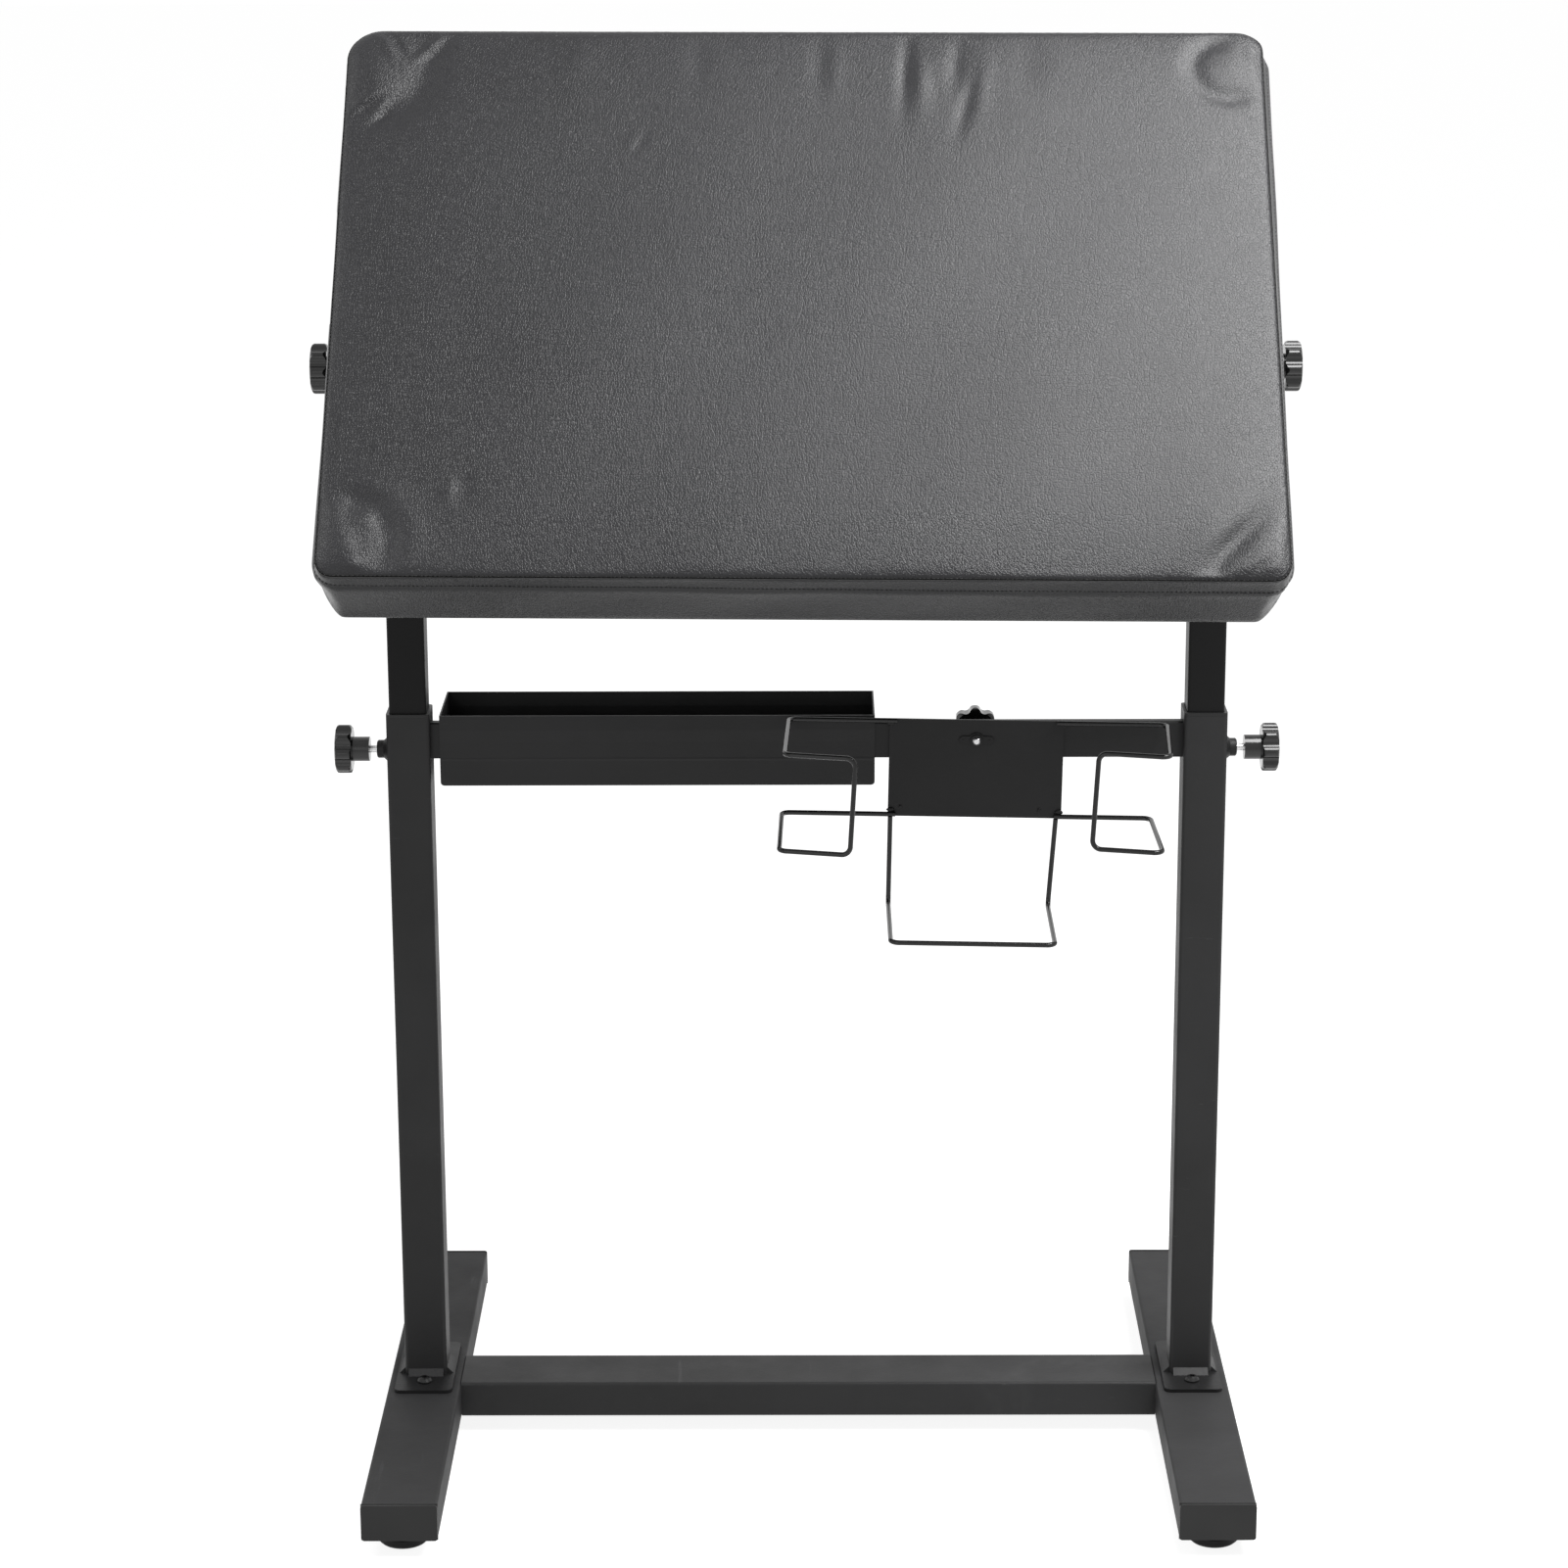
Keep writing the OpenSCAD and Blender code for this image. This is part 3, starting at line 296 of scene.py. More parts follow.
POWDER = powder("powder_coat", 0.019, 0.52, 1.0, 0.26)
POWDER_DARK = powder("powder_coat_dark", 0.012, 0.42, 1.0, 0.2)
# the upper uprights' copy of the powder coat, darker in tone and duller: painted shade from the pad
# above them
MAST_PAINTED_SHADE = powder("powder_coat_mast_painted_shade", 0.007, 0.42, 1.0, 0.13, 0.6)
TRAY = powder("powder_coat_tray", 0.02, 0.46, 1.0, 0.22, 0.8, 0.58)
RAIL = powder("powder_coat_rail", 0.027, 0.6, 1.0, 0.16)
SHEET = powder("powder_coat_sheet", 0.017, 0.46, 1.0, 0.2, 0.8)
WIRE = powder("wire_coat", 0.006, 0.2, 0.6, 0.35, 0.2)
PLASTIC = moulded("black_plastic", 0.012, 0.42)
KNOB = moulded("knob_plastic", 0.005, 0.16, 0.3, 0.3)
RUBBER = moulded("glide_rubber", 0.010, 0.6, 0.0, 0.2)
ZINC = metal("zinc_plate", 0.62)
BLACK_SCREW = powder("black_screw", 0.010, 0.3, 1.0, 0.3, 0.5)
LEATHER = leather()
DUST = fabric("dust_cloth", 0.012)
TAPE = fabric("zip_tape", 0.010, 2400)
FOAM = foam_stuff()
PLY = plywood()
THREAD = fabric("black_thread", 0.009, 5200)
# the seam's folded edge, lighter in tone than the leather: a painted highlight along the seam
EDGE_HIGHLIGHT = moulded("leather_edge_painted_highlight", 0.04, 0.28, 0.2, 0.45)
# a near-black tube in the seam: painted shade where the seam's valley falls dark
SEAM_PAINTED_SHADE = moulded("seam_painted_shade", 0.002, 0.5, 0.0, 0.06)
BY_SLOT = {
    "powder_coat": POWDER, "powder_coat_dark": POWDER_DARK, "wire_coat": WIRE,
    "black_plastic": PLASTIC, "knob_plastic": KNOB, "glide_rubber": RUBBER, "zinc": ZINC,
    "black_screw": BLACK_SCREW, "leather": LEATHER, "foam": FOAM, "plywood": PLY,
    "dust_cloth": DUST, "zip_tape": TAPE,
}
# each node's powder coat; the upper uprights take the darker copy, which is painted shade from the
# pad
BY_NODE = {
    "left_upper_upright": MAST_PAINTED_SHADE, "right_upper_upright": MAST_PAINTED_SHADE, "tray": TRAY, "upper_bar": SHEET,
    "holder_plate": SHEET, "left_rail": RAIL, "right_rail": RAIL,
    "left_base_plate": POWDER_DARK, "right_base_plate": POWDER_DARK,
}
for part in frame["record"]["subparts"]:
    mesh = NODES[part["node"]].data
    mesh.materials.clear()
    mesh.materials.append(BY_NODE.get(part["node"], BY_SLOT[part["material_slot"]]))


# ---------------------------------------------------------------- helpers
def new_object(name, verts, faces, material, body, smooth=True):
    """A mesh object in metres that rides on a body; with no body it is only scratch."""
    mesh = bpy.data.meshes.new(name)
    mesh.from_pydata([tuple(v) for v in verts], [], faces)
    mesh.validate()
    mesh.update()
    if smooth:
        mesh.polygons.foreach_set("use_smooth", [True] * len(mesh.polygons))
    obj = bpy.data.objects.new(name, mesh)
    bpy.context.scene.collection.objects.link(obj)
    mesh.materials.append(material)
    if body:
        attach(obj, body)
    return obj


def tube(points, radius, sides=8, closed=False, flat=1.0, up=(0, 0, 1)):
    """Vertices and faces of a tube through points; flat squeezes it along up."""
    pts = np.asarray(points, float)
    n = len(pts)
    radii = np.broadcast_to(np.asarray(radius, float), (n,))
    up = np.asarray(up, float)
    if up.ndim == 1:
        up = np.tile(up, (n, 1))
    if closed:
        tan = np.roll(pts, -1, 0) - np.roll(pts, 1, 0)
    else:
        tan = np.gradient(pts, axis=0)
    tan /= np.linalg.norm(tan, axis=1)[:, None]
    side = np.cross(up, tan)
    side /= np.linalg.norm(side, axis=1)[:, None]
    top = np.cross(tan, side)
    ang = np.arange(sides) * 2 * math.pi / sides
    ring = (side[:, None] * np.cos(ang)[None, :, None]
            + top[:, None] * (np.sin(ang) * flat)[None, :, None])
    verts = (pts[:, None] + ring * radii[:, None, None]).reshape(-1, 3)
    faces = []
    for i in range(n if closed else n - 1):
        a, b = i * sides, ((i + 1) % n) * sides
        for j in range(sides):
            k = (j + 1) % sides
            faces.append((a + j, a + k, b + k, b + j))
    if not closed:
        faces.append(tuple(range(sides))[::-1])
        faces.append(tuple((n - 1) * sides + j for j in range(sides)))
    return verts, faces


def merged(parts):
    """One vertex array and face list from several."""
    verts, faces, at = [], [], 0
    for v, f in parts:
        verts.append(np.asarray(v))
        faces += [tuple(i + at for i in face) for face in f]
        at += len(v)
    return np.concatenate(verts), faces


# ---------------------------------------------------------------- the pad
PIVOT_Z, TILT = 896.0, math.radians(48.7)
PAD_A, PAD_B = 365.6, 247.2
# the cover sits a little askew on its board: its spin in radians, its slide up the slope, how
# much longer its right side is and how much wider its lower end
SPIN, SLIDE, LONGER, WIDER = 0.0087, 0.6, 0.7, 2.2
# heights out of the pivot's plane: the underside and the seam round the face
UNDER = 40.0
SEAM_W = 100.8
# corners of the outline by side and end: how far each runs across and up, and how blunt it is
SEAM_CORNERS = {(-1, 1): (29, 27, 1.1), (1, 1): (27, 20, 1.1),
                (-1, -1): (18, 18, 1), (1, -1): (18, 18, 1)}
HEM_CORNERS = {(-1, 1): (26, 32, 1.2), (1, 1): (24, 24, 1.1),
               (-1, -1): (21, 41, 1.5), (1, -1): (25, 42, 1.5)}
LEFT_DRAW = 0.8


def to_row(p):
    """Pad coordinates in mm (across, up the slope, out of the face) to the row frame in metres."""
    p = np.asarray(p, float)
    c, s = math.cos(TILT), math.sin(TILT)
    a, b = p[..., 0] / PAD_A, p[..., 1] / PAD_B
    x = p[..., 0] + SPIN * p[..., 1] - WIDER * (1 - a) * (1 - b) / 4
    v = p[..., 1] - SPIN * p[..., 0] + SLIDE + LONGER * (1 + a) * (1 + b) / 2
    return np.stack([x, v * c - p[..., 2] * s, v * s + p[..., 2] * c + PIVOT_Z], -1) * MM


def smooth(t):
    """0 below 0, 1 above 1 and an even ease between."""
    t = np.clip(t, 0, 1)
    return t * t * (3 - 2 * t)


def normals_of(loop):
    """Outward normals of a flat anticlockwise loop."""
    tan = np.roll(loop, -1, 0) - np.roll(loop, 1, 0)
    nor = np.stack([tan[:, 1], -tan[:, 0]], 1)
    return nor / np.linalg.norm(nor, axis=1)[:, None]


def outline(nodes, drop):
    """The cover's outline at nodes of its upright box; drop is 0 at the seam and 1 at the hem."""
    p = nodes.copy()
    for sx in (-1, 1):
        for sv in (-1, 1):
            ends = zip(SEAM_CORNERS[sx, sv], HEM_CORNERS[sx, sv])
            rx, rv, k = [a + (b - a) * drop for a, b in ends]
            dx, dv = PAD_A - sx * nodes[:, 0], PAD_B - sv * nodes[:, 1]
            row, col = (dv < 1e-6) & (dx < rx), (dx < 1e-6) & (dv < rv)
            turn = np.where(row, (1 - dx / rx) * math.pi / 4,
                            math.pi / 2 - (1 - dv / rv) * math.pi / 4)
            near = row | col
            turn = np.clip(turn, 0, math.pi / 2)
            p[near, 0] = (sx * (PAD_A - rx * (1 - np.sin(turn) ** k)))[near]
            p[near, 1] = (sv * (PAD_B - rv * (1 - np.cos(turn) ** k)))[near]
    # the left side is drawn in a little between its corners
    between = 1 - np.clip(np.abs(p[:, 1]) / PAD_B, 0, 1) ** 2
    p[:, 0] += LEFT_DRAW * np.clip(-p[:, 0] / PAD_A, 0, 1) ** 8 * between
    return p, normals_of(p)


def seam_inset(p, nor):
    """How far inside the outline the seam runs: little along the top, most at the top right."""
    up = (p[:, 1] + PAD_B) / (2 * PAD_B)
    sides = np.stack([np.clip(-nor[:, 0], 0, 1), np.clip(nor[:, 0], 0, 1),
                      np.clip(-nor[:, 1], 0, 1), np.clip(nor[:, 1], 0, 1)]) ** 2
    left, right = 2.4 + 2.4 * (1 - up) ** 1.5, 3.6 + 3.2 * up
    bottom, top = np.full(len(p), 1.6), np.full(len(p), 0.7)
    return (sides * np.stack([left, right, bottom, top])).sum(0) / sides.sum(0)


def band_out(w, inset):
    """How far outside the plain outline the side band stands at height w."""
    tuck = np.interp(w, [82, 85, 88, 92, 96, 99, 101], [0, -0.2, -0.5, -0.5, -0.35, -0.2, 0])
    hem = np.interp(w, [40, 41, 42.5, 45, 49, 55, 70], [-1.2, 0.4, 1.1, 1.3, 1.0, 0.5, 0])
    return tuck + hem - inset * smooth((w - 78) / 22)


def spaced(half, step, edge=(0, 1.4, 3.2, 5.6, 8.8, 12.8, 17.4)):
    """Grid lines across the pad: the given ones beside the seam, even in the middle."""
    edge = np.array(edge)
    middle = np.linspace(22 - half, half - 22, int((2 * half - 44) / step) + 1)
    return np.concatenate([edge - half, middle, (half - edge)[::-1]])


def loop_nodes(gx, gv):
    """Grid places round the border, anticlockwise from the bottom left, and their coordinates."""
    nx, nv = len(gx), len(gv)
    places = [(0, i) for i in range(nx)] + [(j, nx - 1) for j in range(1, nv)]
    places += [(nv - 1, i) for i in range(nx - 2, -1, -1)] + [(j, 0) for j in range(nv - 2, 0, -1)]
    return places, np.array([(gx[i], gv[j]) for j, i in places])


def seam_line(step=4.0):
    """The seam's points, outward normals and outline points, evenly stepped."""
    _, nodes = loop_nodes(spaced(PAD_A, step), spaced(PAD_B, step))
    rim, nor = outline(nodes, 0.0)
    seam = rim - nor * seam_inset(rim, nor)[:, None]
    seg = np.linalg.norm(np.roll(seam, -1, 0) - seam, axis=1)
    at = np.concatenate([[0], np.cumsum(seg)])
    count = int(at[-1] / step)
    want = np.arange(count) * at[-1] / count
    closed = np.vstack([seam, seam[:1]])
    even = np.stack([np.interp(want, at, closed[:, k]) for k in range(2)], 1)
    return even, normals_of(even)


def face_height(d):
    """Height of the face at distance d inside the seam."""
    return SEAM_W + 2.2 * (1 - np.exp(-d / 2.2)) + 1.6 * (1 - np.exp(-d / 9.0))


# heights of the band's rings and insets of the hem's, on the visible form and the cloth's form
FINE_BAND = (99.8, 98.3, 95.6, 92, 88.4, 86.2, 84, 80.5, 76, 70, 64, 58, 52.5, 48, 44.6, 42.3,
             40.9, 40)
FINE_HEM = (5, 10, 17, 26, 37, 50, 66)
CLOTH_EDGE, CLOTH_BAND, CLOTH_HEM = (0, 7, 14), (96, 89, 81, 73, 65, 57, 49, 43, 40), (9,)


def pad_form(gx, gv, heights=FINE_BAND, hem=FINE_HEM):
    """The cover's form: the face's grid first, then the band's rings and the turned-in hem."""
    nx, nv = len(gx), len(gv)
    places, nodes = loop_nodes(gx, gv)
    rim, nor = outline(nodes, 0.0)
    inset = seam_inset(rim, nor)
    seam = rim - nor * inset[:, None]
    shift = np.zeros((nv, nx, 2))
    for (j, i), s, n in zip(places, seam, nodes):
        shift[j, i] = s - n
    gridx, gridv = np.meshgrid(gx, gv)

    def fade(d):
        return (np.clip(1 - d / 70, 0, 1) ** 2)[..., None]

    left, right = fade(gridx + PAD_A), fade(PAD_A - gridx)
    low, high = fade(gridv + PAD_B), fade(PAD_B - gridv)
    move = left * shift[:, :1] + right * shift[:, -1:] + low * shift[:1] + high * shift[-1:]
    for a, j in ((low, 0), (high, -1)):
        for b, i in ((left, 0), (right, -1)):
            move -= a * b * shift[j, i]
    flat = np.stack([gridx, gridv], -1) + move
    for (j, i), s in zip(places, seam):
        flat[j, i] = s
    depth = nearest(seam, flat.reshape(-1, 2)).reshape(nv, nx)
    verts = [(*p, w) for p, w in zip(flat.reshape(-1, 2), face_height(depth).ravel())]
    faces = [(j * nx + i, j * nx + i + 1, (j + 1) * nx + i + 1, (j + 1) * nx + i)
             for j in range(nv - 1) for i in range(nx - 1)]
    above = [j * nx + i for j, i in places]
    for w, inward in [(w, 0) for w in heights] + [(UNDER, inward) for inward in hem]:
        ring, out = outline(nodes, 1.0 if inward else float(smooth((100 - w) / 56)))
        if inward:
            # drawn in by scale, so that the hem's corners never cross
            ring = ring * (1 - inward / PAD_A, 1 - inward / PAD_B)
        else:
            ring += out * band_out(w, inset)[:, None]
        here = list(range(len(verts), len(verts) + len(ring)))
        verts += [(*p, w) for p in ring]
        n = len(here)
        faces += [(here[k], here[(k + 1) % n], above[(k + 1) % n], above[k]) for k in range(n)]
        above = here
    return np.array(verts), faces


def nearest(line, points):
    """Distance of each flat point from the nearest of the line's points."""
    best = np.full(len(points), 1e9)
    for k in range(0, len(line), 64):
        part = line[k:k + 64]
        d = np.linalg.norm(points[:, None] - part[None], axis=2)
        best = np.minimum(best, d.min(1))
    return best


# creases and dents of the loose leather on the face: across, up, half sizes, turn, height in mm
FORMS = [
    # top left: a raised corner and short folds into the seam
    (-341, 205, 19, 27, 8, 3.3), (-330, 234, 3.2, 12, 32, 1.8), (-322, 235, 3.4, 12, 32, -1.2),
    (-296, 233, 3.6, 14, -40, 2.0), (-287, 230, 4.0, 14, -40, -1.6), (-344, 182, 3.4, 12, -55, 1.7),
    (-342, 176, 3.2, 12, -55, -1.2), (-334, 174, 3.4, 11, -43, 1.7),
    (-329, 169, 3.2, 11, -43, -1.2),
    # top right: a low knob inside its ring
    (335, 206, 15, 16, 0, 1.2), (352, 214, 5, 16, 0, 0.6),
    # bottom left: a ridge up from the corner
    (-344, -214, 12, 28, 20, 3.0), (-325, -193, 11, 8, 20, 1.4), (-334, -238, 6, 9, 0, 1.2),
    (-348, -188, 7, 12, 0, 0.9),
    # bottom right: a diagonal fold with a rounded ridge outside it
    (319, -215, 9, 38, -43, -3.3), (340, -231, 13, 32, -43, 2.1), (302, -206, 12, 34, -43, 0.9),
    (335, -239, 3.6, 14, -40, -1.6), (305, -240, 5, 9, -30, -1.0),
    # single marks on the face
    (-265, -171, 5, 12, 0, 0.7), (-254, -170, 6, 13, 0, -0.6), (-128, 139, 4, 9, -25, -0.5),
    (-134, 139, 5, 9, -25, 0.3), (-84, 212, 9, 26, 0, -0.5), (12, 212, 8, 24, 0, -0.8),
    (22, 208, 8, 24, 0, 0.5), (79, 205, 6, 34, -3, -1.7), (91, 197, 8, 26, 0, 1.4),
    (104, 214, 8, 20, 4, 0.5),
    (119, 212, 6, 26, -6, -1.1), (126, 172, 6, 26, -14, -1.4), (138, 196, 9, 32, -8, 0.9),
    (176, 214, 12, 26, 0, -0.6), (-180, 214, 12, 24, 4, 0.5), (-30, -222, 20, 14, 0, -0.4),
]
# arcs that run round a raised corner: centre, radius, half width, height in mm, then the
# middle and half of the arc in degrees
HOLLOWS = [
    (-345, 214, 48, 14, -3.1, -28, 60), (332, 207, 27, 8.5, -2.2, 196, 104),
    (-345, -214, 37, 10, -2.6, 28, 62), (-345, -214, 52, 12, 0.9, 28, 50),
]


def face_relief(x, y):
    """Height of the creases, arcs and slow waves at places of the face."""
    h = np.zeros_like(x)
    for cx, cy, rx, ry, turn, height in FORMS:
        t = math.radians(turn)
        dx, dy = x - cx, y - cy
        a = dx * math.cos(t) + dy * math.sin(t)
        b = -dx * math.sin(t) + dy * math.cos(t)
        h += height * np.exp(-(a / rx) ** 2 - (b / ry) ** 2)
    for cx, cy, radius, wide, height, middle, half in HOLLOWS:
        dx, dy = x - cx, y - cy
        off = np.degrees(np.arctan2(dy, dx)) - middle
        off = np.abs((off + 180) % 360 - 180)
        arc = np.exp(-((np.hypot(dx, dy) - radius) / wide) ** 2)
        h += height * arc * smooth((half + 25 - off) / 50)
    # the slow unevenness of foam under leather
    h += 0.35 * np.sin(x / 61 + 1.3) * np.sin(y / 47 + 0.4) + 0.22 * np.sin(x / 29 - y / 53)
    return h


CLOTH_FRAMES = 20
# the seam's hold fades out over this many mm, and the hem's over this much above the underside
SEAM_HOLD, HEM_HOLD = 9.0, 4
MOVE_LIMIT = 6.0


def swell(step=8.0):
    """Cloth simulation of the cover under the foam's push, with seam and hem held.

    Returns the grid and how far each place of the face moves.
    """
    gx, gv = spaced(PAD_A, step, CLOTH_EDGE), spaced(PAD_B, step, CLOTH_EDGE)
    co, faces = pad_form(gx, gv, CLOTH_BAND, CLOTH_HEM)
    obj = new_object("pad_cloth", co * MM, faces, LEATHER, None)
    n = len(co)
    line, _ = seam_line(2.0)
    dist = np.hypot(nearest(line, co[:, :2]), co[:, 2] - SEAM_W)
    weight = np.clip(1.2 - dist / SEAM_HOLD, 0, 1)
    weight = np.maximum(weight, np.clip((UNDER + 5 - co[:, 2]) / HEM_HOLD, 0, 1))
    group = obj.vertex_groups.new(name="held")
    for i in np.nonzero(weight > 0)[0]:
        group.add([int(i)], float(weight[i]), "REPLACE")
    cloth = obj.modifiers.new("cloth", "CLOTH")
    s = cloth.settings
    s.quality = 5
    s.mass = 0.4
    s.tension_stiffness = 25
    s.compression_stiffness = 25
    s.shear_stiffness = 10
    s.bending_stiffness = 2
    s.use_pressure = True
    s.uniform_pressure_force = 4
    s.effector_weights.gravity = 0
    s.vertex_group_mass = "held"
    s.pin_stiffness = 1
    cloth.point_cache.frame_start = 1
    cloth.point_cache.frame_end = CLOTH_FRAMES
    cloth.collision_settings.use_collision = False
    for f in range(1, CLOTH_FRAMES + 1):
        bpy.context.scene.frame_set(f)
    dep = bpy.context.evaluated_depsgraph_get()
    done = obj.evaluated_get(dep).to_mesh()
    end = np.empty(n * 3)
    done.vertices.foreach_get("co", end)
    obj.evaluated_get(dep).to_mesh_clear()
    bpy.data.objects.remove(obj)
    bpy.context.scene.frame_set(1)
    move = end.reshape(-1, 3) / MM - co
    size = np.linalg.norm(move, axis=1)
    move *= (MOVE_LIMIT * np.tanh(size / MOVE_LIMIT) / np.maximum(size, 1e-9))[:, None]
    print("pad cloth moved up to %.1f mm, mean %.2f mm" % (size.max(), size.mean()))
    return gx, gv, move[:len(gx) * len(gv)].reshape(len(gv), len(gx), 3)


def resampled(move, gx, gv, fx, fv):
    """The coarse grid's moves on the fine grid's places, smoothed."""
    out = np.empty((len(fv), len(fx), 3))
    for k in range(3):
        across = np.array([np.interp(fx, gx, row) for row in move[:, :, k]])
        out[:, :, k] = np.array([np.interp(fv, gv, col) for col in across.T]).T
    for _ in range(4):
        out[1:-1, 1:-1] = (out[1:-1, 1:-1] * 2 + out[:-2, 1:-1] + out[2:, 1:-1]
                           + out[1:-1, :-2] + out[1:-1, 2:]) / 6
    return out.reshape(-1, 3)


CROWN = 1.8
# how far the face follows its plain height; the rest is what the cloth made of it
FOLLOW = 0.7
VALLEY_DEEP, VALLEY_HALF = 1.2, 1.3
# the seam allowance's lower edge in the middle of the band, and how much lower it is to the right
ALLOWANCE_W, ALLOWANCE_FALL = 86.6, 2.4
# the flat round the zip on the left side: its ends up the slope, middle, half height and depth
ZIP_LOW, ZIP_HIGH, ZIP_W, ZIP_HALF, ZIP_DEEP = -14, 88, 77, 9, -0.5


def dress(co):
    """Crown, leather marks, seam valley and band relief of the pad's points, in pad mm."""
    line, out = seam_line(1.5)
    tree = KDTree(len(line))
    for i, (x, v) in enumerate(line):
        tree.insert((x, v, 0), i)
    tree.balance()
    near = np.array([tree.find((x, v, 0))[1] for x, v, _ in co])
    gap, nor = co[:, :2] - line[near], out[near]
    depth = -(gap * nor).sum(1)
    dist = np.hypot(np.linalg.norm(gap, axis=1), co[:, 2] - SEAM_W)
    x = co[:, 0] + SPIN * co[:, 1]
    v = co[:, 1] - SPIN * co[:, 0] + SLIDE
    on_face = smooth((co[:, 2] - SEAM_W + 0.3) / 0.6) * (depth > -0.3)
    crown = ((1 - np.clip(np.abs(co[:, 0]) / PAD_A, 0, 1) ** 4)
             * (1 - np.clip(np.abs(co[:, 1]) / PAD_B, 0, 1) ** 4))
    want = face_height(np.maximum(depth, 0)) + CROWN * crown
    co[:, 2] += on_face * FOLLOW * (want - co[:, 2])
    co[:, 2] += on_face * smooth((depth - 0.5) / 9) * face_relief(x, v)
    # the band: the seam allowance's lower edge wanders, and the leather lies in slow waves
    on_band = (1 - on_face) * smooth((co[:, 2] - UNDER - 2) / 6)
    on_band = on_band * smooth((SEAM_W - 1 - co[:, 2]) / 3)
    along = x * np.abs(nor[:, 1]) + v * np.abs(nor[:, 0])
    edge = ALLOWANCE_W - ALLOWANCE_FALL * x / PAD_A
    edge = edge + 0.8 * np.sin(along / 41) + 0.5 * np.sin(along / 17 + 1)
    groove = np.exp(-((co[:, 2] - edge) / 1.9) ** 2)
    roll = np.exp(-((co[:, 2] - edge + 4.5) / 3.0) ** 2)
    band = -0.4 * groove + 0.35 * roll
    band += 0.3 * np.sin(along / 67 + co[:, 2] / 13) + 0.18 * np.sin(along / 23 - co[:, 2] / 9)
    on_zip = (nor[:, 0] < -0.9) & (co[:, 1] > ZIP_LOW) & (co[:, 1] < ZIP_HIGH)
    band = np.where(on_zip & (np.abs(co[:, 2] - ZIP_W) < ZIP_HALF), ZIP_DEEP, band)
    co[:, :2] += nor * (on_band * band)[:, None]
    # the seam's own valley
    push = np.stack([nor[:, 0] * 0.5, nor[:, 1] * 0.5, np.full(len(co), 0.9)], 1)
    co -= push * (VALLEY_DEEP * np.exp(-(dist / VALLEY_HALF) ** 2))[:, None]
    co[:, 2] = np.maximum(co[:, 2], UNDER)
    return co


def make_pad():
    """The sewn leather cover, shaped by the cloth's moves and then dressed."""
    step = 4.6
    fx, fv = spaced(PAD_A, step), spaced(PAD_B, step)
    co, faces = pad_form(fx, fv)
    gx, gv, move = swell()
    co[:len(fx) * len(fv)] += resampled(move, gx, gv, fx, fv)
    obj = new_object("pad_leather", co, faces, LEATHER, None)
    bpy.context.view_layer.objects.active = obj
    obj.select_set(True)
    sub = obj.modifiers.new("sub", "SUBSURF")
    sub.levels = sub.render_levels = 1
    bpy.ops.object.modifier_apply(modifier="sub")
    mesh = obj.data
    co = np.empty(len(mesh.vertices) * 3)
    mesh.vertices.foreach_get("co", co)
    co = dress(co.reshape(-1, 3))
    mesh.vertices.foreach_set("co", to_row(co).ravel())
    mesh.polygons.foreach_set("use_smooth", [True] * len(mesh.polygons))
    mesh.update()
    obj.select_set(False)
    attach(obj, "table")
    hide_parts("pad_cover", "pad_foam")
    return obj


def on_surface(tree, p):
    """Nearest point of the pad's surface to p (pad mm) and its outward normal, in the row frame."""
    hit, nor, _, _ = tree.find_nearest(Vector(to_row(p)))
    return np.array(hit), np.array(nor)


# lines laid in the seam: name, mm outwards, lift and radius in metres, material; the first is
# lighter as a painted highlight, the second near black as painted shade
SEAM_LINES = (("pad_seam_edge_highlight", 1.1, 0.0003, 0.0005, EDGE_HIGHLIGHT),
              ("pad_seam_painted_shade", 0.1, 0.0002, 0.0006, SEAM_PAINTED_SHADE))
# stitch rows: name, mm inwards, height, pitch, stitch length and thread radius in mm
STITCH_ROWS = (("pad_face_stitches", 1.2, SEAM_W + 0.6, 3.4, 2.5, 0.3),
               ("pad_band_stitches", -0.6, ALLOWANCE_W, 3.4, 2.4, 0.26))
STITCH_LIFT, STITCH_SINK = 0.00022, -0.0001


def make_seams(pad):
    """The band's folded edge with its painted highlight, a near-black tube beside it as painted
    shade in the seam, and two rows of stitches.
    """
    tree = BVHTree.FromObject(pad, bpy.context.evaluated_depsgraph_get())
    base, nor = seam_line(3.0)
    for name, outwards, lift, radius, material in SEAM_LINES:
        line, ups = [], []
        for i, (p, q) in enumerate(zip(base, nor)):
            s = p + q * (outwards + 0.12 * math.sin(i * 0.21) + 0.08 * math.sin(i * 0.057))
            hit, up = on_surface(tree, (s[0], s[1], SEAM_W + 0.2))
            line.append(hit + up * lift)
            ups.append(up)
        v, f = tube(line, radius, 8, True, 1.0, np.array(ups))
        new_object(name, v, f, material, "table")
    # one row in the valley, and one that holds the seam allowance on the band
    ring, rn = seam_line(0.6)
    seg = np.linalg.norm(np.roll(ring, -1, 0) - ring, axis=1)
    at = np.concatenate([[0], np.cumsum(seg)])
    for name, inset, w, pitch, length, thick in STITCH_ROWS:
        count = int(at[-1] / pitch)
        parts = []
        for k in range(count):
            pts, nrm = [], []
            for t in (0.0, 0.5, 1.0):
                s = (k * at[-1] / count + t * length) % at[-1]
                i = int(np.searchsorted(at, s, "right") - 1) % len(ring)
                p = ring[i] - rn[i] * inset
                fall = ALLOWANCE_FALL * (w < SEAM_W) * p[0] / PAD_A
                hit, up = on_surface(tree, (p[0], p[1], w - fall))
                pts.append(hit + up * (STITCH_LIFT if t == 0.5 else STITCH_SINK))
                nrm.append(up)
            if np.linalg.norm(pts[2] - pts[0]) > 1e-5:
                parts.append(tube(pts, thick * MM, 5, False, 1.0, np.array(nrm)))
        v, f = merged(parts)
        new_object(name, v, f, THREAD, "table")


